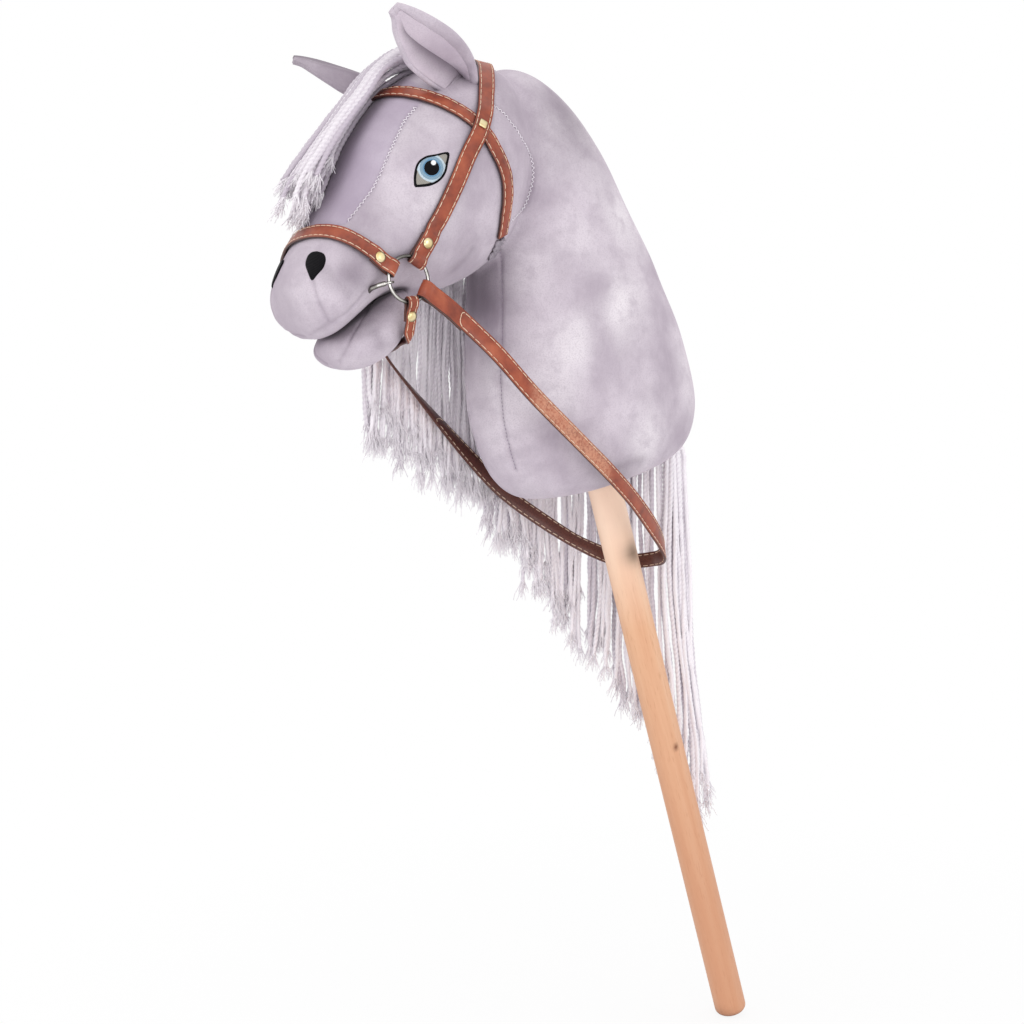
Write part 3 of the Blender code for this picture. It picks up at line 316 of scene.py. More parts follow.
class Nodes:
    """The node tree of a material or world, and short ways to fill it."""

    def __init__(self, owner):
        owner.use_nodes = True
        self.tree = owner.node_tree

    def feed(self, target, value):
        """Link an input to a socket, or set it to a value."""
        if hasattr(value, "is_output"):
            self.tree.links.new(value, target)
        else:
            target.default_value = value

    def node(self, kind, inputs=(), **settings):
        """A node with its settings and what its inputs take."""
        made = self.tree.nodes.new("ShaderNode" + kind)
        for key, value in settings.items():
            setattr(made, key, value)
        for key, value in dict(inputs).items():
            self.feed(made.inputs[key], value)
        return made

    def math(self, kind, *values):
        return self.node("Math", enumerate(values), operation=kind).outputs[0]


class Look(Nodes):
    """One material: a shader and what feeds it."""

    def __init__(self, name, **sockets):
        self.material = bpy.data.materials.new(name)
        super().__init__(self.material)
        self.shader = self.tree.nodes["Principled BSDF"]
        for socket, value in sockets.items():
            self.shader.inputs[socket.replace("_", " ")].default_value = value

    def position(self):
        return self.node("TexCoord").outputs["Object"]

    def place(self, scale=(1.0, 1.0, 1.0), turn=(0.0, 0.0, 0.0)):
        """Position on the object, scaled and turned."""
        inputs = {"Scale": scale, "Rotation": turn, "Vector": self.position()}
        return self.node("Mapping", inputs).outputs["Vector"]

    def noise(self, scale, detail=2.0, roughness=0.5, vector=None, distortion=0.0, output=0):
        """Noise as a number, or with output 1 as a colour."""
        inputs = {"Scale": scale, "Detail": detail, "Roughness": roughness,
                  "Distortion": distortion, "Vector": vector or self.position()}
        return self.node("TexNoise", inputs).outputs[output]

    def ramp(self, value, *stops):
        """Colours at given values, blended between them."""
        made = self.node("ValToRGB", {"Fac": value})
        elements = made.color_ramp.elements
        while len(elements) < len(stops):
            elements.new(1.0)
        for element, (position, color) in zip(elements, stops):
            element.position = position
            element.color = as_color(color)
        return made.outputs["Color"]

    def blend(self, share, first, second, kind="MIX"):
        """A mix of two colours, each a socket or a plain colour."""
        inputs = {0: share, 6: as_color(first), 7: as_color(second)}
        return self.node("Mix", inputs, data_type="RGBA", blend_type=kind).outputs[2]

    def attribute(self, name, strength=1.0):
        found = self.node("Attribute", attribute_name=name).outputs["Fac"]
        return found if strength == 1.0 else self.math("MULTIPLY", found, strength)

    def color(self, socket, reach=None, darkest=1.0):
        """The base colour, with painted shade where other surfaces stand within reach."""
        if reach:
            near = self.node("AmbientOcclusion", {"Distance": reach}, samples=6).outputs["AO"]
            painted_shade = self.ramp(near, (0.10, (darkest, darkest * 0.94, darkest, 1.0)), (0.80, 1.0))
            socket = self.blend(1.0, socket, painted_shade, "MULTIPLY")
        self.feed(self.shader.inputs["Base Color"], socket)

    def bump(self, height, strength, distance, **below):
        inputs = {"Strength": strength, "Distance": distance, "Height": height, **below}
        normal = self.node("Bump", inputs).outputs["Normal"]
        self.feed(self.shader.inputs["Normal"], normal)
        return normal


def plush_look(name, light, middle, dark, sheen=0.3):
    """Short velvety pile: soft light dapples on a darker ground, and brushed streaks."""
    look = Look(name, Roughness=0.92, Sheen_Weight=sheen, Sheen_Roughness=0.45,
                Specular_IOR_Level=0.12, Sheen_Tint=paint(240, 230, 240))
    warped = look.blend(0.035, look.position(), look.noise(14.0, output=1), "LINEAR_LIGHT")
    spots = look.node("TexVoronoi", {"Scale": DAPPLE_SCALE, "Smoothness": 0.6, "Vector": warped},
                      feature="SMOOTH_F1")
    dapple = look.ramp(spots.outputs["Distance"], (0.05, 1.0), (0.55, 0.0))
    patchy = look.ramp(look.noise(8.0, 1.0), (0.36, 0.25), (0.60, 1.0))
    base = look.ramp(look.noise(15.0, 3.0, 0.55), (0.38, dark), (0.60, middle))
    base = look.blend(look.math("MULTIPLY", dapple, patchy), base, light)
    streaks = look.noise(62.0, 3.0, 0.6, look.place((1.0, 0.35, 1.0)))
    base = look.blend(look.ramp(streaks, (0.46, 0.0), (0.70, 0.50)), base, dark)
    brushed = look.noise(380.0, 3.0, 0.6, look.place((1.0, 1.0, 0.45)))
    base = look.blend(look.math("MULTIPLY", brushed, 0.20), base, (236, 228, 236))
    specks = look.ramp(look.noise(900.0, 2.0, 0.6), (0.45, 0.0), (0.75, 0.45))
    base = look.blend(specks, base, dark)
    # The gusset's darker cloth, then painted shade in the grooves and where shade falls
    for attribute, strength, color in PLUSH_MARKS:
        base = look.blend(look.attribute(attribute, strength), base, color)
    # Painted shade where other surfaces stand near
    look.color(base, 0.024, 0.42)
    soft = look.bump(brushed, 0.30, 0.5 * MM)
    look.bump(look.noise(1500.0, 2.0, 0.7), 0.40, 0.3 * MM, Normal=soft)
    return look.material


def yarn_look(name, light, dark):
    """Fibres over strands whose own tone, with painted shade in their grooves, is in the mesh."""
    look = Look(name, Roughness=0.9, Sheen_Weight=0.35, Sheen_Roughness=0.5,
                Specular_IOR_Level=0.2)
    base = look.ramp(look.attribute("strand"), (0.35, dark), (0.90, light))
    fibre = look.noise(1100.0, 3.0, 0.6)
    look.color(look.blend(look.math("MULTIPLY", fibre, 0.20), base, (192, 182, 196)))
    look.bump(fibre, 0.5, 0.35 * MM)
    return look.material


def leather_look(name, lit, middle, dark):
    """Half-gloss leather: dark cut edges, a rough darker flesh side and a rubbed stretch."""
    look = Look(name, Specular_IOR_Level=0.45, Coat_Weight=0.15, Coat_Roughness=0.35)
    patches = look.noise(60.0, 4.0, 0.6)
    base = look.ramp(patches, (0.30, dark), (0.50, middle), (0.74, lit))
    rubbed = look.ramp(look.noise(520.0, 4.0, 0.7), (0.36, 0.25), (0.58, 1.0))
    rubbed = look.math("MULTIPLY", rubbed, look.attribute("worn"))
    base = look.blend(look.math("MULTIPLY", rubbed, 0.8), base, (206, 150, 122))
    from_middle = look.math("ABSOLUTE", look.math("SUBTRACT", look.attribute("across"), 0.5))
    base = look.blend(look.ramp(from_middle, (0.455, 0.0), (0.485, 0.9)), base, (66, 36, 28))
    # The flesh side's own darker colour, deepened further with painted shade
    flesh = look.ramp(look.noise(700.0, 3.0, 0.7), (0.3, (66, 36, 32)), (0.7, (112, 62, 50)))
    # Painted shade where other surfaces stand near
    look.color(look.blend(look.attribute("flesh"), base, flesh), 0.016, 0.50)
    rough = look.math("ADD", look.ramp(patches, (0.3, 0.36), (0.8, 0.52)),
                      look.attribute("worn", 0.2))
    look.feed(look.shader.inputs["Roughness"], rough)
    grain = look.node("TexVoronoi", {"Scale": 1300.0, "Vector": look.position()})
    creases = look.bump(look.noise(260.0, 3.0, 0.6), 0.22, 0.25 * MM)
    look.bump(grain.outputs["Distance"], 0.22, 0.12 * MM, Normal=creases)
    return look.material


def thread_look(name, color, shade):
    look = Look(name, Roughness=0.6, Sheen_Weight=0.2)
    look.color(look.ramp(look.noise(900.0), (0.3, shade), (0.7, color)))
    look.bump(look.noise(2600.0, 1.0), 0.3, 0.1 * MM)
    return look.material


def satin_look(name, color, shade, turn, gloss=0.35):
    """Embroidery: fine threads side by side, at an angle."""
    look = Look(name, Roughness=0.55, Sheen_Weight=gloss * 0.5, Specular_IOR_Level=gloss)
    inputs = {"Scale": 330.0, "Distortion": 1.2, "Detail": 2.0,
              "Vector": look.place(turn=(0.0, turn, 0.0))}
    wave = look.node("TexWave", inputs, wave_type="BANDS", bands_direction="X").outputs["Fac"]
    look.color(look.ramp(wave, (0.1, shade), (0.75, color)))
    look.bump(wave, 0.6, 0.25 * MM)
    return look.material


def metal_look(name, color, roughness, spots, lit_to, dark_from, painted_reflection_share):
    """Polished metal with a painted reflection: bright where it faces the eye, darker towards its
    sides; with wear.
    """
    look = Look(name, Metallic=1.0)
    wear = look.noise(160.0, 4.0, 0.6)
    # Painted reflection: darker flanks, and patches of a painted room
    facing = look.node("LayerWeight", {"Blend": 0.5}).outputs["Facing"]
    painted_flank_reflection = look.ramp(facing, (lit_to, 1.0), (dark_from, (0.26, 0.25, 0.24, 1.0)),
                      (0.72, (0.14, 0.13, 0.12, 1.0)), (0.97, (0.60, 0.59, 0.57, 1.0)))
    painted_room_reflection = look.ramp(look.noise(70.0, 1.0), (0.42, (0.34, 0.33, 0.32, 1.0)), (0.58, 1.0))
    painted_flank_reflection = look.blend(painted_reflection_share, painted_flank_reflection, painted_room_reflection, "MULTIPLY")
    worn = look.ramp(wear, (0.3, spots), (0.55, color))
    look.color(look.blend(1.0, worn, painted_flank_reflection, "MULTIPLY"))
    look.feed(look.shader.inputs["Roughness"],
              look.ramp(wear, (0.3, roughness * 1.8), (0.7, roughness)))
    look.bump(look.noise(700.0), 0.06, 0.1 * MM)
    return look.material


def wood_look(name):
    """Planed beech: short dark flecks, faint long grain, deeper towards its foot, and a painted shadow
    where the rein rests on it; Z runs along it.
    """
    look = Look(name, Roughness=0.5, Specular_IOR_Level=0.4)
    grain = look.noise(60.0, 4.0, 0.6, look.place((1.0, 1.0, 0.04)), 0.4)
    base = look.ramp(grain, (0.30, (216, 164, 128)), (0.50, (231, 187, 151)),
                     (0.70, (240, 206, 174)))
    flecks = look.noise(900.0, 2.0, 0.5, look.place((1.0, 1.0, 0.10)))
    base = look.blend(look.ramp(flecks, (0.58, 0.0), (0.72, 0.45)), base, (190, 132, 96))
    base = look.blend(look.math("MULTIPLY", look.noise(9.0), 0.22), base, (236, 172, 132))
    along = look.node("SeparateXYZ", {0: look.position()}).outputs["Z"]
    height = look.math("DIVIDE", along, STICK_DEEPER_UP_TO)
    base = look.blend(look.ramp(height, (0.25, 0.70), (1.1, 0.0)), base, (200, 138, 104))
    base = look.blend(look.ramp(height, (0.80, 0.0), (1.10, 0.75)), base, (255, 226, 204))
    base = look.blend(look.attribute("knot"), base, (118, 66, 40))
    # Painted shadow of the rein where it rests on the stick
    base = look.blend(look.attribute("painted_rein_shadow"), base, (92, 74, 62))
    # Painted shade where other surfaces stand near
    look.color(base, 0.018, 0.45)
    soft = look.bump(grain, 0.12, 0.3 * MM)
    look.bump(flecks, 0.18, 0.1 * MM, Normal=soft)
    return look.material


def make_looks():
    looks = {name: plush_look(name, *colors) for name, colors in PLUSHES.items()}
    looks.update((name, thread_look(name, *colors)) for name, colors in THREADS.items())
    looks.update((name, satin_look(name, *colors)) for name, colors in SATINS.items())
    looks.update((name, metal_look(name, *facts)) for name, facts in METALS.items())
    looks["yarn"] = yarn_look("yarn", (253, 249, 253), (194, 184, 196))
    looks["leather"] = leather_look("leather", (174, 90, 58), (148, 66, 40), (114, 46, 27))
    looks["wood"] = wood_look("beech")
    return looks


# Meshes


def write_values(mesh, name, values):
    """One number per point, for a material to read."""
    mesh.attributes.new(name, "FLOAT", "POINT").data.foreach_set("value", values)


def add_piece(name, mesh, material, body=HORSE, replaced=()):
    piece = new_object(name, mesh)
    mesh.materials.clear()
    mesh.materials.append(material)
    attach(piece, body)
    if replaced:
        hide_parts(*replaced)
    return piece


class Shape:
    """Points, faces and named values per point that become one mesh."""

    def __init__(self):
        self.points = []
        self.faces = []
        self.values = {}

    def add(self, point, **values):
        index = len(self.points)
        self.points.append(point)
        for key, value in values.items():
            self.values.setdefault(key, {})[index] = value
        return index

    def mesh(self, name):
        mesh = bpy.data.meshes.new(name)
        mesh.from_pydata([tuple(point) for point in self.points], [], self.faces)
        for key, found in self.values.items():
            write_values(mesh, key, [found.get(index, 0.0) for index in range(len(self.points))])
        mesh.update()
        mesh.shade_smooth()
        return mesh


def turned(row):
    """A ring of things that starts with its second one."""
    return row[1:] + row[:1]


def close_rows(shape, rows):
    """Walls between rings of points, and a cap on either end."""
    for lower, upper in zip(rows, rows[1:]):
        shape.faces.extend(zip(lower, turned(lower), turned(upper), upper))
    shape.faces.append(tuple(reversed(rows[0])))
    shape.faces.append(tuple(rows[-1]))


def spoke(first, second, angle):
    """A direction at an angle from the first of two towards the second."""
    return first * math.cos(angle) + second * math.sin(angle)


def rails(points):
    """Two directions square to a path at each of its points, with no twist between them."""
    count = len(points)
    forward = [(points[min(index + 1, count - 1)] - points[max(index - 1, 0)]).normalized()
               for index in range(count)]
    side = forward[0].orthogonal().normalized()
    pairs = []
    for direction in forward:
        side = (side - direction * side.dot(direction)).normalized()
        pairs.append((side, direction.cross(side)))
    return pairs


def add_tube(shape, points, radii, sides, **values):
    """A closed tube along a path."""
    rows = []
    for point, radius, (first, second) in zip(points, radii, rails(points)):
        rows.append([shape.add(point + spoke(first, second, angle) * radius, **values)
                     for angle in circle(sides)])
    close_rows(shape, rows)


def curve_point(around, t):
    """A point between the two middle ones of four points that a smooth curve passes."""
    before, first, second, after = around
    return 0.5 * (2.0 * first + (second - before) * t
                  + (2.0 * before - 5.0 * first + 4.0 * second - after) * t ** 2
                  + (3.0 * first - before - 3.0 * second + after) * t ** 3)


def spline(points, step):
    """A smooth curve through points, with a new point about every step."""
    points = [Vector(point) for point in points]
    ends = [points[0] * 2.0 - points[1], *points, points[-1] * 2.0 - points[-2]]
    result = [points[0]]
    for around in zip(ends, ends[1:], ends[2:], ends[3:]):
        count = max(1, round((around[2] - around[1]).length / step))
        result.extend(curve_point(around, index / count) for index in range(1, count + 1))
    return result


def evenly(points, step):
    """Points a step apart on a path."""
    result = [points[0]]
    left_over = 0.0
    for first, second in zip(points, points[1:]):
        length = (second - first).length
        along = step - left_over
        while along <= length:
            result.append(first.lerp(second, along / length))
            along += step
        left_over = length - (along - step)
    return result


def welded(mesh):
    """A mesh's faces with doubled points joined; the caller frees them."""
    bm = bmesh.new()
    bm.from_mesh(mesh)
    bmesh.ops.remove_doubles(bm, verts=bm.verts, dist=0.00001)
    return bm


def face_outwards(mesh):
    """Turn the faces of a closed mesh outwards."""
    bm = bmesh.new()
    bm.from_mesh(mesh)
    bmesh.ops.recalc_face_normals(bm, faces=bm.faces)
    bm.to_mesh(mesh)
    bm.free()


def move_points(mesh, points):
    for vertex, point in zip(mesh.vertices, points):
        vertex.co = point
    mesh.update()


def remeshed(name, node_names, voxel, smoothing):
    """One skin round the solids of some nodes, rounded and made fine."""
    bm = bmesh.new()
    for node_name in node_names:
        bm.from_mesh(nodes[node_name].data)
    mesh = bpy.data.meshes.new(name)
    bm.to_mesh(mesh)
    bm.free()
    rough = new_object(name + "_rough", mesh)
    remesh = rough.modifiers.new("Remesh", "REMESH")
    remesh.mode = "VOXEL"
    remesh.voxel_size = voxel
    smooth = rough.modifiers.new("Smooth", "SMOOTH")
    smooth.factor = 0.5
    smooth.iterations = smoothing
    rough.modifiers.new("Subdivision", "SUBSURF").levels = 1
    bpy.context.view_layer.update()
    evaluated = rough.evaluated_get(bpy.context.evaluated_depsgraph_get())
    result = bpy.data.meshes.new_from_object(evaluated)
    bpy.data.objects.remove(rough, do_unlink=True)
    result.name = name
    result.shade_smooth()
    return result


class Surface:
    """A mesh to lay things on."""

    def __init__(self, mesh):
        self.tree = BVHTree.FromPolygons([vertex.co for vertex in mesh.vertices],
                                         [tuple(face.vertices) for face in mesh.polygons])

    def at_pixel(self, pixel):
        origin, direction = pixel_ray(pixel)
        location, normal, _, _ = self.tree.ray_cast(origin, direction)
        return location, normal

    def nearest(self, point):
        location, normal, _, _ = self.tree.find_nearest(point)
        return location, normal

    def pixel_path(self, pixels, step):
        """Points on the surface along a line of pixels."""
        line = spline([Vector((x, y, 0.0)) for x, y in pixels], 4.0)
        hits = [self.at_pixel(point)[0] for point in line]
        return evenly([hit for hit in hits if hit is not None], step)

    def both_sides(self, lines, step):
        """Paths along lines of pixels, each followed by its mirror image."""
        paths = []
        for pixels in lines:
            path = self.pixel_path(pixels, step)
            paths.extend((path, [mirrored(point) for point in path]))
        return paths


# Plush


class Seams:
    """Lines on the skin that pull it in."""

    def __init__(self, lines):
        points = [point for line in lines for point in line]
        self.tree = kdtree.KDTree(len(points))
        for index, point in enumerate(points):
            self.tree.insert(point, index)
        self.tree.balance()

    def distance(self, point):
        return self.tree.find(point)[2]


def shade_at(point, spots):
    """Painted shade from the soft spots, the strongest at a point."""
    return max((strength * bell((point - center).length, reach)
                for center, reach, strength in spots), default=0.0)


def shape_plush(mesh, seams, wrinkles, mouth, spots, seed):
    """Lumps of stuffing, grooves along the seams and wrinkles, and puckers beside them, with painted
    shade in the grooves, the mouth's slit, beside the wrinkles and at the spots.
    """
    shift = Vector([seed * part for part in SEED_SHIFT])
    creases = []
    shades = []
    moved = []
    for vertex in mesh.vertices:
        point = vertex.co
        to_seam = seams.distance(point)
        to_wrinkle = wrinkles.distance(point)
        groove = max(bell(to_seam, SEAM_WIDTH), WRINKLE_SHARE * bell(to_wrinkle, WRINKLE_WIDTH))
        depth = LUMP_DEPTH * noise.noise(point / LUMP_SIZE + shift)
        depth -= SEAM_DEPTH * groove
        depth += (PUCKER_DEPTH * bell(to_seam, PUCKER_REACH)
                  * noise.noise(point / PUCKER_SIZE + shift))
        moved.append(point + vertex.normal * depth)
        # Painted shade in the grooves, in the mouth's slit, beside the wrinkles and at the spots
        creases.append(groove)
        opposite = mouth.tree.find_nearest(point, MOUTH_REACH)[3]
        between = 0.0 if opposite is None else 1.0 - opposite / MOUTH_REACH
        shades.append(max(smooth_step(MOUTH_DARKENING * between), shade_at(point, spots),
                          WRINKLE_SHADE * bell(to_wrinkle, WRINKLE_SHADE_WIDTH)))
    move_points(mesh, moved)
    write_values(mesh, "crease", creases)
    write_values(mesh, "shade", shades)


def mark_gusset(mesh, face_line):
    """The darker cloth of the forehead, between the two face seams."""
    near_line = [Vector((point.x, -abs(point.y), point.z)) for point in face_line]
    top = max(point.z for point in near_line) + GUSSET_ABOVE
    bottom = min(point.z for point in near_line) - GUSSET_BELOW

    def share_at(point):
        if point.x >= GUSSET_BACK_X or not bottom < point.z < top:
            return 0.0
        seam = min(near_line, key=lambda found: abs(found.z - point.z))
        in_front = smooth_step((seam.x + GUSSET_BEHIND_SEAM - point.x) / GUSSET_FADE)
        return smooth_step((abs(seam.y) - abs(point.y)) / GUSSET_EDGE + 0.5) * in_front

    write_values(mesh, "gusset", [share_at(vertex.co) for vertex in mesh.vertices])


def add_seam_stitch(shape, surface, start, end, radius, rise, step):
    """Thread between two points on the skin; its middle rises by a number of its radii."""
    middle, normal = surface.nearest((start + end) / 2.0)
    path = spline([start, middle + normal * radius * rise, end], step)
    add_tube(shape, path, [radius] * len(path), SEAM_THREAD_SIDES)


def add_zigzag(name, lines, surface, material):
    """Pale thread that crosses a seam from side to side."""
    shape = Shape()
    for line in lines:
        ends = []
        for index, point in enumerate(line):
            after = line[min(index + 1, len(line) - 1)]
            before = line[max(index - 1, 0)]
            place, normal = surface.nearest(point)
            across = (after - before).cross(normal).normalized()
            side = ZIGZAG_WIDTH / 2.0 * (1.0 if index % 2 else -1.0)
            ends.append(surface.nearest(place + across * side)[0])
        for first, second in zip(ends, ends[1:]):
            add_seam_stitch(shape, surface, first, second, SEAM_THREAD, 1.2, ZIGZAG_STEP / 3.0)
    add_piece(name, shape.mesh(name), material)


def add_running_stitch(name, lines, surface, material):
    """Short stitches along a seam, one after another."""
    shape = Shape()
    for line in lines:
        for first, second in zip(line[::2], line[1::2]):
            add_seam_stitch(shape, surface, surface.nearest(first)[0], surface.nearest(second)[0],
                            RUN_THREAD, 1.0, HOLE_STEP / 4.0)
    add_piece(name, shape.mesh(name), material)


def add_plush(looks):
    """The sewn skin of neck and head and of the lower jaw; gives back the first one's surface."""
    body_mesh = remeshed("head_and_neck_plush", ("neck", "head"), SKIN_VOXEL, SKIN_SMOOTHING)
    jaw_mesh = remeshed("lower_jaw_plush", ("lower_jaw",), JAW_VOXEL, JAW_SMOOTHING)
    body = Surface(body_mesh)
    jaw = Surface(jaw_mesh)
    zigzags = body.both_sides((FACE_SEAM, POLL_SEAM), ZIGZAG_STEP)
    runs = body.both_sides((NECK_SEAM, MUZZLE_SEAM, LIP_SEAM), HOLE_STEP / 2.0)
    jaw_runs = jaw.both_sides((JAW_SEAM,), HOLE_STEP / 2.0)
    body_wrinkles = body.both_sides(BODY_WRINKLES, HOLE_STEP)
    jaw_wrinkles = jaw.both_sides(JAW_WRINKLES, HOLE_STEP)
    spots = []
    for pixel, reach, strength in SHADE_SPOTS:
        center = body.at_pixel(pixel)[0]
        spots.extend(((center, reach, strength), (mirrored(center), reach, strength)))
    shape_plush(body_mesh, Seams(zigzags + runs), Seams(body_wrinkles), jaw, spots, SEED)
    shape_plush(jaw_mesh, Seams(jaw_runs), Seams(jaw_wrinkles), body, (), SEED + 1)
    mark_gusset(body_mesh, zigzags[0])
    for name, mesh, replaced in (("head_and_neck_plush", body_mesh, ("neck", "head")),
                                 ("lower_jaw_plush", jaw_mesh, ("lower_jaw",))):
        piece = add_piece(name, mesh, looks["plush"], replaced=replaced)
    skin = Surface(body_mesh)
    add_zigzag("seam_zigzag", zigzags, skin, looks["seam_thread"])
    add_running_stitch("seam_stitches", runs[:2], skin, looks["dark_thread"])
    return skin


# Ear: its frame, and per row its front edge, crease and rear edge as shares of its length,
# then sideways and towards its opening
EAR_THICKNESS = 4.5 * MM
EAR_BASE = Vector((-0.347, -0.036, 0.835))
EAR_TIP = Vector((-0.428, -0.073, 0.8635))
EAR_OPENS = Vector((-0.60, -0.75, -0.27))
EAR_ROWS = (
    ((0.02, -0.0140, 0.0170), (-0.12, 0.0080, -0.0010), (-0.27, -0.0010, 0.0185)),
    ((0.10, -0.0160, 0.0150), (0.00, 0.0070, 0.0000), (-0.15, 0.0085, 0.0165)),
    ((0.20, -0.0178, 0.0140), (0.12, 0.0045, 0.0000), (0.00, 0.0180, 0.0128)),
    ((0.34, -0.0193, 0.0120), (0.27, 0.0012, 0.0000), (0.18, 0.0228, 0.0110)),
    ((0.50, -0.0198, 0.0105), (0.42, -0.0018, 0.0000), (0.40, 0.0233, 0.0100)),
    ((0.66, -0.0155, 0.0090), (0.57, -0.0043, 0.0005), (0.62, 0.0195, 0.0090)),
    ((0.80, -0.0105, 0.0080), (0.72, -0.0050, 0.0020), (0.80, 0.0145, 0.0080)),
    ((0.91, -0.0045, 0.0080), (0.86, -0.0010, 0.0045), (0.93, 0.0095, 0.0080)),
    ((0.99, -0.0028, 0.0085), (0.99, 0.0012, 0.0075), (1.00, 0.0058, 0.0085)))
EAR_CREASE_ROUND = 0.10
EAR_HEM_LIFT = 0.55 * MM
# The lining's first and last row, its edges across the ear and how far it stands off
EAR_LINING_ROWS = (0.7, 7.5)
EAR_LINING_EDGES = (-0.90, 0.70)
EAR_LINING_RISE = 3.4 * MM
# Rows and shares in the meshes of an ear and of its lining
EAR_STEPS = (56, 44)
EAR_LINING_STEPS = (40, 32)
# The share and row past which the cloth thins to its edge, and where the hem begins
EAR_EDGE_FROM = 0.90
EAR_TIP_FROM = 7.75
EAR_HEM_FROM = 0.70
# The seam of the hem on the back of the ear: its share, width and height
EAR_BACK_SEAM = 0.84
EAR_BACK_SEAM_WIDTH = 0.03
EAR_BACK_SEAM_RISE = 0.35 * MM
# Painted shade over the far ear, which lies in the shade of the forehead
EAR_FAR_SHADE = {-1.0: 0.0, 1.0: 0.38}


class Ear:
    """The left ear's cloth. A row is 0 at the base; a share is -1 at the front edge, 1 at the rear."""

    def __init__(self):
        along = EAR_TIP - EAR_BASE
        self.length = along.length
        self.up = along.normalized()
        self.opening = (EAR_OPENS - self.up * EAR_OPENS.dot(self.up)).normalized()
        self.across = self.up.cross(self.opening)

    def line(self, row, which):
        last = len(EAR_ROWS) - 1
        index = min(max(int(row), 0), last - 1)
        around = [Vector(EAR_ROWS[min(max(index + step, 0), last)][which])
                  for step in (-1, 0, 1, 2)]
        return curve_point(around, row - index)

    def point(self, row, share):
        crease = self.line(row, 1)
        edge = self.line(row, 2 if share > 0.0 else 0)
        soft = math.hypot(share, EAR_CREASE_ROUND) - EAR_CREASE_ROUND
        soft /= math.hypot(1.0, EAR_CREASE_ROUND) - EAR_CREASE_ROUND
        height, sideways, depth = crease.lerp(edge, soft)
        return (EAR_BASE + self.up * (self.length * height) + self.across * sideways
                + self.opening * depth)

    def normal(self, row, share):
        sideways = self.point(row, share + 0.03) - self.point(row, share - 0.03)
        upwards = self.point(row + 0.1, share) - self.point(row - 0.1, share)
        normal = sideways.cross(upwards).normalized()
        return normal if normal.dot(self.opening) > 0.0 else -normal

    def half_thickness(self, row, share):
        edge = max(0.0, (abs(share) - EAR_EDGE_FROM) / 0.10)
        tip = max(0.0, (row - EAR_TIP_FROM) / 0.25)
        return EAR_THICKNESS / 2.0 * math.sqrt(max(0.01, 1.0 - max(edge, tip) ** 2))

    def hem(self, row, share):
        """The turned-in hem along the rear edge, with pleats towards the base."""
        band = smooth_step((share - EAR_HEM_FROM) / 0.05)
        band *= smooth_step((EAR_EDGE_FROM - share) / 0.03)
        pleats = 0.5 + 0.5 * math.sin(row * 8.5 + 1.5 * math.sin(row * 4.0))
        return EAR_HEM_LIFT * band * mix(1.0, pleats, smooth_step((5.0 - row) / 3.0))

    def shade(self, row, share):
        """How much painted shade a point takes from the fold."""
        front = (smooth_step(1.15 * (1.0 + share / EAR_EDGE_FROM)) if share < 0.0
                 else bell(share, 0.14))
        return front * smooth_step((7.4 - row) / 1.6) * smooth_step((row + 0.6) / 1.2)


def add_ear_sheet(node_name, ear, rows, shares, top, bottom, side, material):
    """A closed sheet between two heights over the ear's cloth."""
    shape = Shape()
    rings = []
    for row in rows:
        upper = []
        lower = []
        for share in shares:
            point = ear.point(row, share)
            normal = ear.normal(row, share)
            high = point + normal * top(row, share)
            low = point + normal * bottom(row, share)
            if side > 0.0:
                high, low = mirrored(high), mirrored(low)
            # Painted shade from the fold, and over the far ear painted shade that deepens on its back
            # towards the rear
            upper.append(shape.add(high, shade=max(ear.shade(row, share), EAR_FAR_SHADE[side])))
            lower.append(shape.add(low, shade=0.0 if side < 0.0 else EAR_FAR_SHADE[side]
                                   + 0.6 * smooth_step((share + 0.3) / 0.8)))
        rings.append(upper + list(reversed(lower)))
    close_rows(shape, rings)
    name = node_name + "_plush"
    mesh = shape.mesh(name)
    face_outwards(mesh)
    add_piece(name, mesh, material, replaced=(node_name,))


def add_ears(looks):
    """Each ear is a folded leaf of cloth with a hem, and a lining that stands off in its fold."""
    ear = Ear()
    last = len(EAR_ROWS) - 1.0
    count, across = EAR_STEPS
    rows = [last * step / count for step in range(count + 1)]
    shares = [math.sin(math.pi * (step / across - 0.5)) for step in range(across + 1)]
    first_row, last_row = EAR_LINING_ROWS
    front, rear = EAR_LINING_EDGES
    count, across = EAR_LINING_STEPS
    lining_rows = [mix(first_row, last_row, step / count) for step in range(count + 1)]
    lining_shares = [mix(front, rear, step / across) for step in range(across + 1)]

    def cloth_top(row, share):
        return ear.half_thickness(row, share) + ear.hem(row, share)

    def cloth_bottom(row, share):
        seam = EAR_BACK_SEAM_RISE * bell(abs(share) - EAR_BACK_SEAM, EAR_BACK_SEAM_WIDTH)
        return seam - ear.half_thickness(row, share)

    def lining_top(row, share):
        along = math.sin(math.pi * (row - first_row) / (last_row - first_row))
        over = math.sin(math.pi * (share - front) / (rear - front))
        rise = max(0.0, along) ** 0.7 * max(0.0, over) ** 0.8
        return ear.half_thickness(row, share) + 0.15 * MM + EAR_LINING_RISE * rise

    def lining_bottom(row, share):
        return ear.half_thickness(row, share) - 1.2 * MM

    for side_name, side in SIDES:
        add_ear_sheet("ear_" + side_name, ear, rows, shares, cloth_top, cloth_bottom, side,
                      looks["plush"])
        add_ear_sheet("ear_lining_" + side_name, ear, lining_rows, lining_shares, lining_top,
                      lining_bottom, side, looks["lining"])


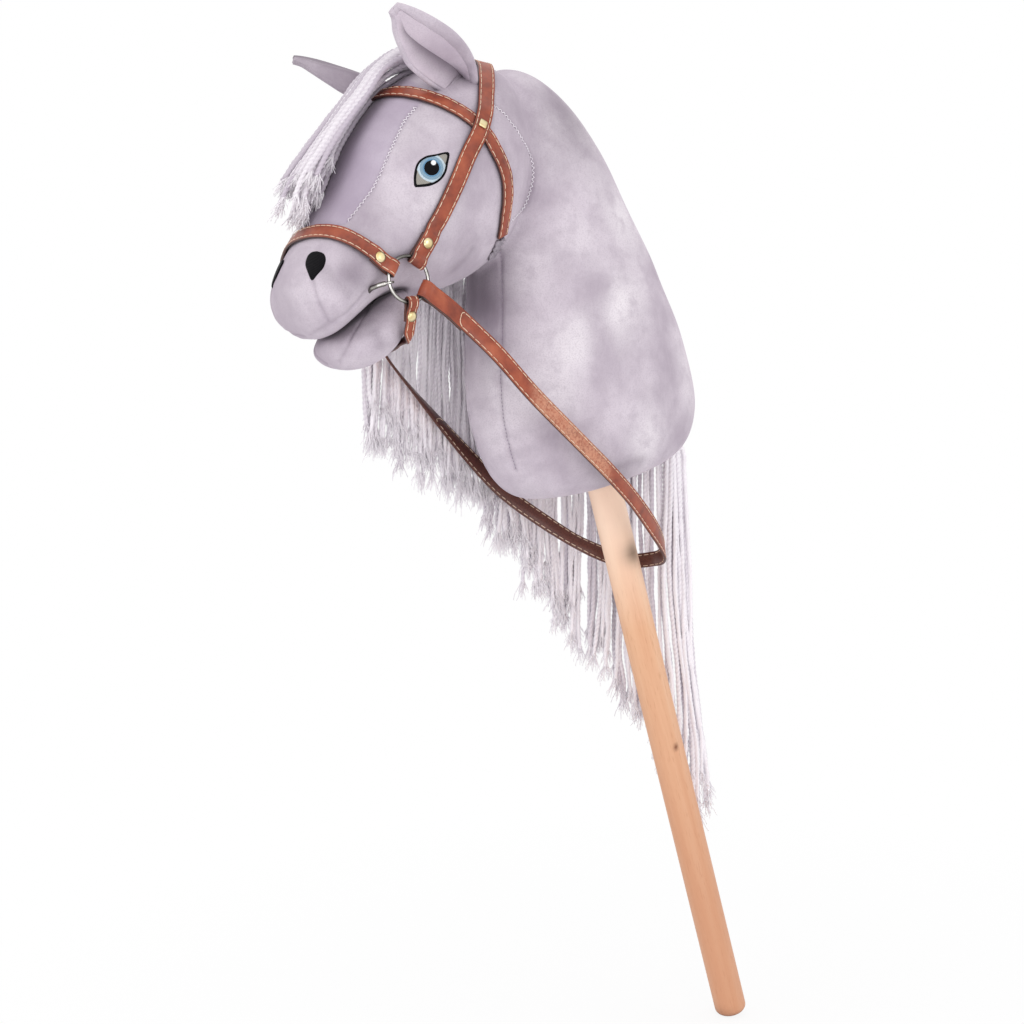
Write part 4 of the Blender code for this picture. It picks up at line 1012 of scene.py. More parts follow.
def add_tabs(looks):
    """Crumpled tabs of cloth that hold the throat strap's ends."""
    for side_name, _ in SIDES:
        node_name = "throat_tab_" + side_name
        name = node_name + "_cloth"
        mesh = remeshed(name, (node_name,), LINING_VOXEL, LINING_SMOOTHING)
        moved = []
        for vertex in mesh.vertices:
            ridge = 1.0 - 3.0 * abs(noise.noise(vertex.co / TAB_CRUMPLE_SIZE))
            moved.append(vertex.co + vertex.normal * (TAB_CRUMPLE * (ridge - 0.35)))
        move_points(mesh, moved)
        add_piece(name, mesh, looks["tab"], replaced=(node_name,))


# Embroidery

# A patch of thread from its middle outwards: share of its reach and of its height
PATCH_PROFILE = ((0.0, 1.0), (0.25, 1.0), (0.5, 1.0), (0.75, 1.0), (0.93, 0.9), (1.0, 0.45),
                 (1.0, -1.0))
PATCH_TURNS = 72
# The eye's discs of thread: radius in pixels, height in millimetres and look
EYE_DISCS = (("eye_rim", 14.4, 0.58, "pale_thread"), ("eye_iris", 12.4, 0.70, "blue_thread"),
             ("eye_iris_dark", 9.6, 0.78, "deep_blue_thread"),
             ("eye_pupil", 8.0, 0.90, "black_thread"))
GLINT_CENTER = (433.2, 163.2)
GLINT_RADIUS = 2.7


def outline_reach(outline, center, angle):
    """How far an outline of pixels lies from its centre in one direction."""
    direction = Vector((math.cos(angle), math.sin(angle)))
    best = 0.0
    for first, second in zip(outline, turned(outline)):
        start = Vector(first) - Vector(center)
        edge = Vector(second) - Vector(first)
        cross = direction.x * edge.y - direction.y * edge.x
        if abs(cross) < 1e-9:
            continue
        reach = (start.x * edge.y - start.y * edge.x) / cross
        share = (start.x * direction.y - start.y * direction.x) / cross
        if reach > 0.0 and -1e-6 <= share <= 1.000001:
            best = max(best, reach)
    return best


def rounded_outline(outline):
    """An outline of pixels with more points and softer corners."""
    loop = [Vector((x, y, 0.0)) for x, y in outline]
    line = spline([*loop, loop[0]], 1.5)
    return [(point.x, point.y) for point in line[:-1]]


def add_patch(name, surface, center, reach, height, material, side, replaced=()):
    """A raised patch of thread on the skin, out to some distance from a centre pixel."""
    shape = Shape()
    rows = []
    for out, up in PATCH_PROFILE:
        row = []
        for angle in circle(PATCH_TURNS):
            away = reach(angle) * out
            pixel = (center[0] + math.cos(angle) * away, center[1] + math.sin(angle) * away)
            point, normal = surface.at_pixel(pixel)
            place = point + normal * (height * MM * up)
            row.append(shape.add(place if side < 0.0 else mirrored(place)))
        rows.append(row)
    for lower, upper in zip(rows, rows[1:]):
        for face in zip(lower, turned(lower), turned(upper), upper):
            shape.faces.append(face if side > 0.0 else tuple(reversed(face)))
    mesh = shape.mesh(name)
    bm = welded(mesh)
    bmesh.ops.dissolve_degenerate(bm, edges=bm.edges, dist=0.000005)
    bm.to_mesh(mesh)
    bm.free()
    mesh.shade_smooth()
    add_piece(name, mesh, material, replaced=replaced)


def add_embroidery(surface, looks):
    eye = rounded_outline(EYE_OUTLINE)
    nostril = rounded_outline(NOSTRIL_OUTLINE)

    def eye_edge(angle):
        return outline_reach(eye, EYE_CENTER, angle)

    def eye_inside(angle):
        return eye_edge(angle) - EYE_BORDER

    def disc(radius):
        return lambda angle: min(radius, eye_inside(angle) + 0.4)

    def nostril_edge(angle):
        return outline_reach(nostril, NOSTRIL_CENTER, angle)

    layers = [("eye_outline", eye_edge, 0.30, "black_thread", EYE_CENTER),
              ("eye_white", eye_inside, 0.45, "taupe_thread", EYE_CENTER)]
    layers.extend((label, disc(radius), height, look, EYE_CENTER)
                  for label, radius, height, look in EYE_DISCS)
    layers.append(("eye_glint", lambda angle: GLINT_RADIUS, 1.05, "white_thread", GLINT_CENTER))
    for side_name, side in SIDES:
        for label, reach, height, look, center in layers:
            replaced = ("eye_" + side_name,) if label == "eye_outline" else ()
            add_patch(label + "_" + side_name, surface, center, reach, height, looks[look],
                      side, replaced)
        add_patch("nostril_embroidery_" + side_name, surface, NOSTRIL_CENTER, nostril_edge, 0.6,
                  looks["black_thread"], side, ("nostril_" + side_name,))


# Yarn

# Over how many points a strand grows at its root and thins at its end
STRAND_GROWS_OVER = 6
STRAND_THINS_OVER = 10


def add_strand(shape, path, radius, tone, rng):
    """One strand of two-ply yarn, thinner at its ends and paler towards the lower one, with painted
    shade in its grooves.
    """
    phase = rng.uniform(0.0, 2.0 * math.pi)
    turn = 2.0 * math.pi / YARN_TWIST * YARN_STEP
    rows = []
    last = len(path) - 1
    for number, (point, (first, second)) in enumerate(zip(path, rails(path))):
        grown = min(number, STRAND_GROWS_OVER) / STRAND_GROWS_OVER
        to_end = min(last - number, STRAND_THINS_OVER) / STRAND_THINS_OVER
        size = radius * (0.55 + 0.45 * grown) * (0.80 + 0.20 * to_end)
        size *= 1.0 + 0.22 * noise.noise(point * 110.0)
        twist = phase + turn * number
        paler = tone * (0.90 + 0.16 * number / last)
        row = []
        for angle in circle(YARN_SIDES):
            lobe = 0.88 + 0.14 * math.cos(2.0 * (angle - twist))
            # Painted shade in the groove between the two plies
            groove = (lobe - 0.74) / 0.28
            place = point + spoke(first, second, angle) * size * lobe
            row.append(shape.add(place, strand=paler * (0.80 + 0.20 * groove)))
        rows.append(row)
    close_rows(shape, rows)


def add_fray(shape, path, direction, tone, rng, reach=1.0):
    """Loose fibres at the end of a strand's path."""
    end = path[-6]
    for _ in range(FRAY_FIBRES):
        spread = Vector((rng.uniform(-1, 1), rng.uniform(-1, 1), rng.uniform(-0.4, 0.4)))
        length = FRAY_LENGTH * rng.uniform(0.45, 1.15) * reach
        points = []
        radii = []
        for step in range(FRAY_STEPS + 1):
            share = step / FRAY_STEPS
            curl = spread * (length * 0.32 * share ** 1.2)
            wave = Vector((math.sin(share * 7.0 + spread.x * 9.0),
                           math.cos(share * 6.0 + spread.y * 9.0), 0.0)) * (FRAY_WAVE * share)
            points.append(end + direction * (length * share) + curl + wave)
            radii.append(FRAY_RADIUS * (1.0 - 0.55 * step / FRAY_STEPS))
        add_tube(shape, points, radii, FRAY_SIDES, strand=tone * rng.uniform(1.1, 1.4))


def end_direction(path):
    """Where a strand points at its end."""
    return (path[-1] - path[-8]).normalized()


class ManeSpace:
    """Where the mane's solid begins and ends, for the strands that fill it."""

    def __init__(self):
        solid = nodes["mane"].data
        self.points = [vertex.co for vertex in solid.vertices]
        self.tree = Surface(solid).tree
        self.low, self.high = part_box("mane")

    def heights(self, x):
        near = [point.z for point in self.points if abs(point.x - x) < MANE_WINDOW]
        return min(near), max(near)

    def outside(self, x, z):
        """How far to the right the solid reaches at one place, or None."""
        start = Vector((x, self.high.y + 0.05, z))
        location, _, _, _ = self.tree.ray_cast(start, Vector((0.0, -1.0, 0.0)))
        return None if location is None else location.y


def mane_path(space, surface, x, layer, rng):
    """A strand of the mane from the crest down to its end."""
    bottom, top = space.heights(x)
    bottom += rng.uniform(*MANE_END_RANGE) + layer * 1.2
    drift = rng.uniform(-MANE_DRIFT, MANE_DRIFT)
    flare = MANE_FLARE * smooth_step((x - MANE_FLARE_FROM_X) / MANE_FLARE_FULL_AFTER)
    sway = rng.uniform(0.0, 40.0)
    points = []
    last_y = None
    for index in range(MANE_PATH_POINTS):
        share = index / (MANE_PATH_POINTS - 1.0)
        z = mix(top - MANE_TOP_GAP, bottom, share)
        found = space.outside(x, min(z, top - 0.002))
        if found is None:
            found = last_y if last_y is not None else 0.03
        elif last_y is not None:
            found = max(found, last_y - MANE_STEP_IN)
        last_y = found
        wander = noise.noise(Vector((x * 40.0, sway, z * 11.0)))
        lock = noise.noise(Vector((math.floor(x / MANE_LOCK) * 3.3, z * 7.0, layer * 90.0)))
        small = noise.noise(Vector((sway, x * 90.0, z * 45.0)))
        across = x + drift * share + (wander * 5.0 + small * 2.0) * MM * (0.2 + share)
        across += lock * MANE_LOCK_SWAY * MM * share
        across += flare * smooth_step((share - 0.35) / 0.65) ** 2
        out = found - layer + (wander * 1.1 + small * 0.6) * MM
        points.append(Vector((across, out, z)))
    root, normal = surface.nearest(Vector((points[0].x, points[0].y * 0.6, points[0].z + 0.006)))
    points[0] = root + normal * 0.5 * MM
    return spline(points, YARN_STEP)


def add_mane(surface, looks):
    rng = random.Random(SEED)
    space = ManeSpace()
    shape = Shape()
    for number, layer in enumerate(MANE_LAYERS):
        x = space.low.x + MANE_FRONT_GAP + number * MANE_PITCH / len(MANE_LAYERS)
        while x < space.high.x - MANE_REAR_GAP:
            place = x + rng.uniform(-1.2, 1.2) * MM
            path = mane_path(space, surface, place, layer, rng)
            tone = rng.uniform(0.78, 1.12) * MANE_LAYER_TONES[number]
            add_strand(shape, path, YARN_RADIUS * rng.uniform(0.88, 1.12), tone, rng)
            add_fray(shape, path, end_direction(path), tone, rng)
            x += MANE_PITCH
    add_piece("mane_yarn", shape.mesh("mane_yarn"), looks["yarn"],
              replaced=("mane",))


# The forelock's course: upper and lower edge as (x, z), and half its width
FORELOCK_COURSE = (
    ((-0.344, 0.861), (-0.344, 0.845), 0.0095), ((-0.376, 0.858), (-0.368, 0.845), 0.0165),
    ((-0.400, 0.8385), (-0.3935, 0.8325), 0.0205), ((-0.418, 0.8155), (-0.411, 0.8095), 0.0205),
    ((-0.437, 0.791), (-0.430, 0.783), 0.0205), ((-0.453, 0.770), (-0.442, 0.763), 0.0215),
    ((-0.470, 0.748), (-0.452, 0.742), 0.0230), ((-0.480, 0.730), (-0.458, 0.724), 0.0235),
    ((-0.482, 0.714), (-0.464, 0.708), 0.0230))
FORELOCK_ACROSS = 12
FORELOCK_ROOT = (-0.332, 0.846)
# Layers of strands: height in the lock from -1 to 1, and how far each has sunk to the head
FORELOCK_LAYERS = ((0.8, 0.0), (0.0, 0.0), (-0.8, 0.0), (-0.8, 0.5), (-0.8, 1.0))
FORELOCK_ON_SKIN = 2.6 * MM
FORELOCK_TO_RIGHT = 16.0 * MM
FORELOCK_PALER_END = 0.35
# How far strands stray sideways as locks and each on its own, and to the front
FORELOCK_LOCK_SWAY = 0.0120
FORELOCK_WANDER = 0.0050
# Share of the course's width that the strands' middles fill
FORELOCK_FILLS = 0.88


def forelock_path(place, layer, drop, length, wave, surface):
    """One strand: place across from -1 to 1, layer from -1 (below) to 1 (above)."""
    last = len(FORELOCK_COURSE) - 1
    points = [Vector((FORELOCK_ROOT[0], place * 0.006, FORELOCK_ROOT[1]))]
    for index, (upper, lower, half_width) in enumerate(FORELOCK_COURSE):
        share = index / last
        if share > length:
            break
        upper = Vector((upper[0], 0.0, upper[1]))
        lower = Vector((lower[0], 0.0, lower[1]))
        lock = noise.noise(Vector((math.floor(wave) * 3.7, share * 2.4, 0.5)))
        wander = noise.noise(Vector((wave * 5.0, share * 3.0, 3.5)))
        height = layer * math.sqrt(max(0.0, 1.0 - place * place)) * 0.80
        point = (upper + lower) / 2.0 + (upper - lower) / 2.0 * height
        stray = (lock * FORELOCK_LOCK_SWAY + wander * FORELOCK_WANDER) * share
        point.y = half_width * FORELOCK_FILLS * place + stray
        forward = noise.noise(Vector((share * 3.0, wave * 2.0, 7.0)))
        point.x += forward * FORELOCK_WANDER * share
        if drop:
            point.y = point.y * mix(1.0, 0.5, drop) + FORELOCK_TO_RIGHT * drop
            skin, normal = surface.nearest(point)
            point = point.lerp(skin + normal * FORELOCK_ON_SKIN, drop)
        points.append(point)
    return spline(points, YARN_STEP)


def add_forelock(surface, looks):
    """Strands from between the ears over the forehead and down the nose."""
    rng = random.Random(SEED + 3)
    shape = Shape()
    for layer, drop in FORELOCK_LAYERS:
        for number in range(FORELOCK_ACROSS):
            place = (number + rng.uniform(0.25, 0.75)) / FORELOCK_ACROSS * 2.0 - 1.0
            path = forelock_path(place, layer, drop, rng.uniform(0.74, 0.93),
                                 number / 3.0 + layer * 7.0 + drop * 23.0, surface)
            tone = rng.uniform(0.35, 0.80) * (0.8 if layer < 0.0 else 1.0)
            add_strand(shape, path, YARN_RADIUS * rng.uniform(0.85, 1.1), tone, rng)
            direction = end_direction(path).lerp(-UP, 0.35).normalized()
            add_fray(shape, path, direction, tone + FORELOCK_PALER_END, rng, 0.8)
    add_piece("forelock_yarn", shape.mesh("forelock_yarn"), looks["yarn"],
              replaced=("forelock",))


# Leather


def long_edges(node_name):
    """The four long edges of a strap's solid, as points from its left end to its right."""
    bm = welded(nodes[node_name].data)
    around = {}
    for edge in bm.edges:
        if len(edge.link_faces) == 2 and edge.calc_face_angle(0.0) > math.radians(50.0):
            for vertex in edge.verts:
                around.setdefault(vertex, []).append(edge.other_vert(vertex))
    chains = []
    used = set()
    for corner, others in around.items():
        if len(others) == 2:
            continue
        for other in others:
            if (corner, other) in used:
                continue
            chain = [corner, other]
            while len(around[chain[-1]]) == 2:
                first, second = around[chain[-1]]
                chain.append(first if first is not chain[-2] else second)
            used.add((chain[-1], chain[-2]))
            points = [vertex.co.copy() for vertex in chain]
            if points[0].y > points[-1].y:
                points.reverse()
            chains.append(points)
    bm.free()
    chains.sort(key=len, reverse=True)
    chains = chains[:4]
    shortest = min(len(chain) for chain in chains)
    for chain in chains:
        while len(chain) > shortest:
            gaps = [(chain[index + 1] - chain[index]).length for index in range(len(chain) - 1)]
            chain.pop(gaps.index(min(gaps)) or 1)
    return chains


def ordered_edges(node_name):
    """Outer left, outer right, inner left and inner right edge of a strap."""
    chains = long_edges(node_name)
    first = chains[0]

    def apart(chain):
        return sum((one - two).length for one, two in zip(first, chain)) / len(first)

    partner = min(chains[1:], key=apart)
    others = [chain for chain in chains[1:] if chain is not partner]
    middle = len(first) // 2

    def outer_first(pair):
        return sorted(pair, key=lambda chain: -(chain[middle] - HEAD_CENTER).length)

    outer_one, inner_one = outer_first((first, partner))
    outer_two, inner_two = outer_first(others)
    return outer_one, outer_two, inner_one, inner_two


def fine_edges(edges):
    """The four edges with smooth bends, all cut at the same places."""
    count = len(edges[0])
    padded = [[edge[0] * 2.0 - edge[1], *edge, edge[-1] * 2.0 - edge[-2]] for edge in edges]
    result = [[edge[0]] for edge in edges]
    for index in range(count - 1):
        longest = max((edge[index + 1] - edge[index]).length for edge in edges)
        pieces = max(1, round(longest / STRAP_SMOOTH_STEP))
        for line, target in zip(padded, result):
            target.extend(curve_point(line[index:index + 4], piece / pieces)
                          for piece in range(1, pieces + 1))
    return result


# Half of a strap's section: distance in from its edge in millimetres, share of its thickness
STRAP_SECTION = ((0.00, 0.50), (0.12, 0.78), (0.40, 0.95), (0.85, 1.00), (1.45, 0.97),
                 (1.75, 0.88), (2.15, 0.84), (2.60, 0.90), (3.10, 1.00))
STRAP_BACK = ((0.45, 0.04), (0.12, 0.20))


def section_points(width):
    """A strap's section as (across, thickness) shares, from the left edge over the top."""
    left = [(inset * MM / width, up) for inset, up in STRAP_SECTION]
    right = [(1.0 - across, up) for across, up in reversed(left)]
    back = [(inset * MM / width, up) for inset, up in STRAP_BACK]
    under = [(1.0 - across, up) for across, up in reversed(back)]
    return left + [(0.5, 1.03)] + right + under + [(0.5, 0.0)] + back


def add_strap(node_name, leather, thread, body, stitch_from=0.0, worn=None, both_faces=False):
    """A strap of leather with creased edges and two rows of stitches."""
    edges = fine_edges(ordered_edges(node_name))
    outer_left, outer_right, inner_left, inner_right = edges
    width = (outer_left[0] - outer_right[0]).length
    section = section_points(width)
    shape = Shape()
    rows = []
    run = 0.0
    before = outer_left[0]
    for top_left, top_right, low_left, low_right in zip(*edges):
        run += (top_left - before).length
        before = top_left
        rubbed = 0.0
        if worn:
            rubbed = smooth_step((run - worn[0]) / WORN_FADE)
            rubbed *= smooth_step((worn[1] - run) / WORN_FADE)
        row = []
        for across, up in section:
            point = low_left.lerp(top_left, up).lerp(low_right.lerp(top_right, up), across)
            row.append(shape.add(point, across=across, flesh=1.0 if up < 0.1 else 0.0,
                                 worn=rubbed))
        rows.append(row)
    close_rows(shape, rows)
    name = node_name + "_leather"
    mesh = shape.mesh(name)
    face_outwards(mesh)
    add_piece(name, mesh, leather, body, (node_name,))
    stitches = Shape()
    sew_face(stitches, edges, width, stitch_from)
    if both_faces:
        sew_face(stitches, (inner_left, inner_right, outer_left, outer_right), width,
                 stitch_from)
    name = node_name + "_stitches"
    add_piece(name, stitches.mesh(name), thread, body)


def run_lengths(line):
    """Length from the start of a line to each of its points."""
    lengths = [0.0]
    for (first, _), (second, _) in zip(line, line[1:]):
        lengths.append(lengths[-1] + (second - first).length)
    return lengths


def sew_face(shape, edges, width, stitch_from):
    """Two rows of stitches on the face between the first two edges."""
    share = STITCH_INSET / width
    lines = []
    for across in (share, 1.0 - share):
        line = []
        for top_left, top_right, low_left, low_right in zip(*edges):
            up = (top_left - low_left).lerp(top_right - low_right, across)
            base = low_left.lerp(low_right, across)
            line.append((base + up * STITCH_LEVEL, up.normalized()))
        lines.append(line)
    for line in lines:
        lengths = run_lengths(line)
        at = stitch_from + STITCH_PITCH - STITCH_LENGTH
        while at + STITCH_LENGTH < lengths[-1] - stitch_from:
            sew(shape, line, lengths, at, at + STITCH_LENGTH)
            at += STITCH_PITCH
    if stitch_from:
        for pair in (lines, [list(reversed(line)) for line in lines]):
            add_u_turn(shape, pair, stitch_from)


def place_on(line, lengths, at):
    """Point and outward direction at a length along a line."""
    for index in range(len(lengths) - 1):
        if lengths[index + 1] >= at:
            span = lengths[index + 1] - lengths[index]
            share = (at - lengths[index]) / span if span else 0.0
            point = line[index][0].lerp(line[index + 1][0], share)
            return point, line[index][1].lerp(line[index + 1][1], share)
    return line[-1]


def sew(shape, line, lengths, start, end):
    """One stitch, sunk at both of its ends."""
    points = []
    radii = []
    for step in range(6):
        share = step / 5.0
        point, outward = place_on(line, lengths, mix(start, end, share))
        hump = math.sin(math.pi * share) ** 0.5
        points.append(point + outward * (STITCH_THREAD * (1.5 * hump - 0.9)))
        radii.append(STITCH_THREAD * (0.55 + 0.45 * hump))
    add_tube(shape, points, radii, STITCH_THREAD_SIDES)


def add_u_turn(shape, lines, stitch_from):
    """Stitches that join the two rows at the end of the doubled leather."""
    rows = [(line, run_lengths(line)) for line in lines]
    curve = []
    for step in range(U_TURN_POINTS + 1):
        share = step / U_TURN_POINTS
        back = U_TURN_DEPTH * (1.0 - abs(2.0 * share - 1.0) ** 4)
        (left, left_up), (right, right_up) = (place_on(line, lengths, stitch_from - back)
                                              for line, lengths in rows)
        curve.append(left.lerp(right, share) + left_up.lerp(right_up, share) * STITCH_THREAD)
    for start in range(0, U_TURN_POINTS, U_TURN_STITCH):
        piece = curve[start:start + U_TURN_STITCH]
        add_tube(shape, piece, [STITCH_THREAD] * len(piece), STITCH_THREAD_SIDES)


def add_leather(looks):
    for node_name in ("brow_and_throat_strap", "crown_strap", "noseband", "chin_strap"):
        add_strap(node_name, looks["leather"], looks["cream_thread"], HORSE)
    add_strap("rein", looks["leather"], looks["cream_thread"], REIN_BODY, REIN_STITCH_FROM,
              REIN_WORN, True)


# Metal

RING_TURNS = 96
RING_WIRE_SIDES = 14
BIT_VOXEL = 0.45 * MM
BIT_SMOOTHING = 5


def add_ring_bodies(looks):
    for side_name, _ in SIDES:
        node_name = "ring_" + side_name
        low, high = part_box(node_name)
        center = (low + high) / 2.0
        wire = (high.y - low.y) / 2.0
        radius = (high.x - low.x) / 2.0 - wire
        shape = Shape()
        rows = []
        for turn in circle(RING_TURNS):
            out = Vector((math.cos(turn), 0.0, math.sin(turn)))
            rows.append([shape.add(center + out * (radius + wire * math.cos(angle))
                                   + Vector((0.0, wire * math.sin(angle), 0.0)))
                         for angle in circle(RING_WIRE_SIDES)])
        for lower, upper in zip(rows, turned(rows)):
            shape.faces.extend(zip(lower, upper, turned(upper), turned(lower)))
        name = node_name + "_metal"
        add_piece(name, shape.mesh(name), looks["nickel"], "bridle_ring_" + side_name,
                  (node_name,))


def add_bit(looks):
    mesh = remeshed("bit_metal", ("bit",), BIT_VOXEL, BIT_SMOOTHING)
    add_piece("bit_metal", mesh, looks["nickel"], replaced=("bit",))


# Half sections of the two rivet heads, from the tip: shares of the radius and of the height
RIVET_PROFILE = ((0.0, 1.0), (0.22, 0.985), (0.45, 0.93), (0.66, 0.80), (0.82, 0.60), (0.90, 0.42),
                 (0.93, 0.34), (0.98, 0.30), (1.0, 0.18), (0.985, 0.04), (0.94, 0.0), (0.3, 0.0))
PLATE_PROFILE = ((0.0, 1.0), (0.40, 0.99), (0.74, 0.95), (0.90, 0.80), (0.97, 0.55), (1.0, 0.25),
                 (0.99, 0.05), (0.94, 0.0), (0.3, 0.0))
# How square a square head's outline is: 2 is round, higher is squarer
PLATE_POWER = 7.0
RIVET_TURNS = 48
# Share of the radius that stands for the axis
RIVET_TIP = 0.004


def add_rivets(looks):
    """Rivet heads at the places and sizes of their solids: domes, and plates at the brow."""
    for label in ("cheek", "nose", "chin", "brow"):
        for side_name, _ in SIDES:
            add_rivet(label + "_rivet_" + side_name, looks["brass"], label == "brow")


def middle_of(points):
    return sum(points, Vector((0.0, 0.0, 0.0))) / len(points)


def rivet_head(node_name):
    """A rivet's outward direction, the middle of its head's foot, its height and far corner."""
    bm = welded(nodes[node_name].data)
    flats = {}
    for face in bm.faces:
        key = tuple(round(value, 2) for value in face.normal)
        flats.setdefault(key, [0.0, face.normal.copy()])[0] += face.calc_area()
    points = [vertex.co.copy() for vertex in bm.verts]
    bm.free()
    normal = max(flats.values(), key=lambda flat: flat[0])[1]
    away = middle_of(points) - HEAD_CENTER
    outward = normal if normal.dot(away) > 0.0 else -normal
    top = max(point.dot(outward) for point in points)
    axis = middle_of([point for point in points if point.dot(outward) < top - RIVET_SHANK_BELOW])
    offsets = [(point - axis) - outward * (point - axis).dot(outward) for point in points]
    corner = max(offsets, key=lambda offset: offset.length)
    foot = min(point.dot(outward) for point, offset in zip(points, offsets)
               if offset.length > corner.length * 0.95)
    base = axis + outward * (foot - axis.dot(outward))
    return outward, base, top - foot, corner


def add_rivet(node_name, material, square):
    outward, base, rise, corner = rivet_head(node_name)
    first = corner.normalized()
    second = outward.cross(first)
    radius = corner.length
    if square:
        first = (first + second).normalized()
        second = outward.cross(first)
        radius = corner.length / math.sqrt(2.0)
    shape = Shape()
    rows = []
    for away, height in PLATE_PROFILE if square else RIVET_PROFILE:
        row = []
        for angle in circle(RIVET_TURNS):
            reach = max(away, RIVET_TIP) * radius
            if square:
                reach /= (abs(math.cos(angle)) ** PLATE_POWER
                          + abs(math.sin(angle)) ** PLATE_POWER) ** (1.0 / PLATE_POWER)
            place = base + outward * (height * rise) + spoke(first, second, angle) * reach
            row.append(shape.add(place))
        rows.append(row)
    close_rows(shape, list(reversed(rows)))
    name = node_name + "_metal"
    add_piece(name, shape.mesh(name), material, replaced=(node_name,))


# Stick

# The stick's direction downwards, along X and along Z
STICK_AXIS = (0.302370, -0.953191)
STICK_ROUNDING = 0.005
STICK_RINGS = 160
STICK_TURNS = 72
# How far the upper end's chamfer goes inwards and down
STICK_CHAMFER = (0.002, 0.003)
# A point this far from the axis stands for one on it
STICK_ON_AXIS = 0.0001
KNOT_PIXEL = (676, 747)
KNOT_SIZE = 2.4 * MM
# Painted shadow that the rein casts where it rests on the stick's back: pixel, size and strength
REIN_SHADOW_PIXEL = (633, 553)
REIN_SHADOW_SIZE = 10.0 * MM
REIN_SHADOW_STRENGTH = 0.75


def stick_profile(radius, length):
    """Half the stick's section from its foot up, as distances from its axis and heights."""
    rounding = STICK_ROUNDING
    profile = [(STICK_ON_AXIS, 0.0), (radius * 0.40, 0.0)]
    for step in range(9):
        angle = math.pi / 2.0 * step / 8.0
        profile.append((radius - rounding + rounding * math.sin(angle),
                        rounding - rounding * math.cos(angle)))
    profile.extend((radius, mix(rounding + 0.001, length - STICK_CHAMFER[1], step / STICK_RINGS))
                   for step in range(STICK_RINGS + 1))
    return profile + [(radius - STICK_CHAMFER[0], length), (STICK_ON_AXIS, length)]


def add_stick(looks):
    """A turned stick with a rounded foot; its own axis is Z."""
    solid = nodes["stick"].data
    surface = Surface(solid)
    low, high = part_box("stick")
    lean = math.atan2(STICK_AXIS[0], -STICK_AXIS[1])
    along = Vector((-math.sin(lean), 0.0, math.cos(lean)))
    length = max(vertex.co.dot(along) for vertex in solid.vertices)
    knot = surface.at_pixel(KNOT_PIXEL)[0]
    painted_rein_shadow = surface.at_pixel(REIN_SHADOW_PIXEL)[0]
    turn = Matrix.Rotation(-lean, 3, "Y")
    shape = Shape()
    rows = []
    for away, height in stick_profile((high.y - low.y) / 2.0, length):
        row = []
        for angle in circle(STICK_TURNS):
            local = Vector((away * math.cos(angle), away * math.sin(angle), height))
            world = turn @ local
            # How much of the knot and of the rein's painted shadow each point takes
            marks = {"knot": bell((world - knot).length, KNOT_SIZE),
                     "painted_rein_shadow": REIN_SHADOW_STRENGTH * bell((world - painted_rein_shadow).length, REIN_SHADOW_SIZE)}
            row.append(shape.add(local, **marks))
        rows.append(row)
    close_rows(shape, rows)
    stick = new_object("stick_beech", shape.mesh("stick_beech"))
    stick.matrix_world = turn.to_4x4()
    stick.data.materials.append(looks["wood"])
    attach(stick, HORSE)
    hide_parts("stick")


# Stage

FLOOR_SIZE = 60.0
FLOOR_FADE = 0.8
FLOOR_DROP = 0.4 * MM
WORLD_LIGHT = 0.94
WHITE = (1.0, 1.0, 1.0, 1.0)


def add_floor():
    """Ground that shows soft shade near the stick's foot and is plain white further away."""
    half = FLOOR_SIZE / 2.0
    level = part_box("stick")[0].z - FLOOR_DROP
    mesh = bpy.data.meshes.new("floor")
    floor = new_object("floor", mesh)
    mesh.from_pydata([(-half, -half, level), (half, -half, level), (half, half, level),
                      (-half, half, level)], [], [(0, 1, 2, 3)])
    look = Look("floor", Roughness=0.9, Specular_IOR_Level=0.1)
    look.color((0.86, 0.86, 0.87, 1.0))
    away = look.node("VectorMath", {0: look.position()}, operation="LENGTH").outputs["Value"]
    whiter = look.ramp(look.math("DIVIDE", away, FLOOR_FADE), (0.10, 0.88), (1.0, 1.0))
    paths = look.node("LightPath").outputs
    seen = look.math("MAXIMUM", paths["Is Camera Ray"], paths["Is Glossy Ray"])
    glow = look.node("Emission", {"Color": WHITE, "Strength": 1.0})
    blend = look.node("MixShader", {0: look.math("MULTIPLY", seen, whiter),
                                    1: look.shader.outputs[0], 2: glow.outputs[0]})
    look.feed(look.tree.nodes["Material Output"].inputs["Surface"], blend.outputs[0])
    mesh.materials.append(look.material)


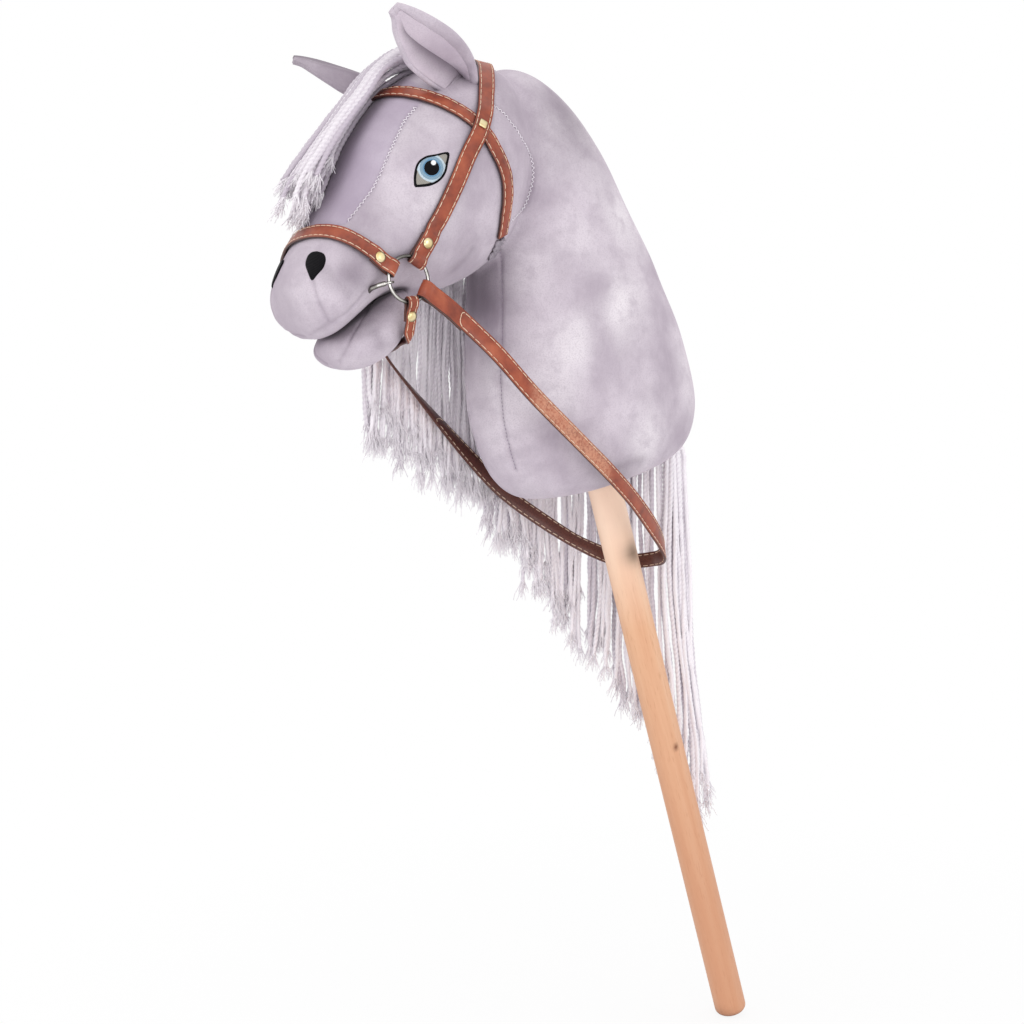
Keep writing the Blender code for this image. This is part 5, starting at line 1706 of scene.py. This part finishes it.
def add_world():
    """Soft light from all sides, which the camera and polished metal see as plain white."""
    world = bpy.data.worlds.new("studio")
    made = Nodes(world)
    made.tree.nodes.clear()
    paths = made.node("LightPath").outputs
    seen = made.math("MAXIMUM", paths["Is Camera Ray"], paths["Is Transmission Ray"])
    seen = made.math("MAXIMUM", seen, paths["Is Glossy Ray"])
    light = made.node("Background", {"Color": (1.0, 0.99, 0.99, 1.0), "Strength": WORLD_LIGHT})
    white = made.node("Background", {"Color": WHITE, "Strength": 1.0})
    blend = made.node("MixShader", {0: seen, 1: light.outputs[0], 2: white.outputs[0]})
    made.node("OutputWorld", {"Surface": blend.outputs[0]})
    bpy.context.scene.world = world


# Lamps: where each stands as seen from the camera (right, up, back), its size and power
LAMPS = (("key", (-1.15, 0.95, 1.15), 0.8, 2.2, (1.0, 0.99, 0.97)),
         ("front", (0.55, 0.20, 1.7), 1.1, 6.5, (1.0, 0.99, 0.99)),
         ("low", (-0.75, -0.85, 1.1), 0.9, 13.0, (1.0, 0.99, 0.99)),
         ("top", (0.1, 1.6, 0.2), 1.2, 1.5, (1.0, 1.0, 1.0)),
         ("rim", (1.3, 0.7, -0.9), 1.0, 1.2, (1.0, 0.99, 0.97)))
LAMP_TARGET = Vector((-0.22, 0.0, 0.55))


def add_lamps():
    right, up, back = camera_axes()
    for name, (to_right, upwards, backwards), size, power, color in LAMPS:
        data = bpy.data.lights.new(name, "AREA")
        data.shape = "SQUARE"
        data.size = size
        data.energy = power
        data.color = color
        lamp = new_object(name, data)
        place = LAMP_TARGET + right * to_right + up * upwards + back * backwards
        turn = (place - LAMP_TARGET).to_track_quat("Z", "Y")
        lamp.matrix_world = Matrix.Translation(place) @ turn.to_matrix().to_4x4()


def build():
    bpy.context.scene.view_settings.view_transform = "Standard"
    add_camera()
    add_world()
    add_lamps()
    add_floor()
    looks = make_looks()
    skin = add_plush(looks)
    add_ears(looks)
    add_tabs(looks)
    add_embroidery(skin, looks)
    add_mane(skin, looks)
    add_forelock(skin, looks)
    add_leather(looks)
    add_ring_bodies(looks)
    add_bit(looks)
    add_rivets(looks)
    add_stick(looks)


build()
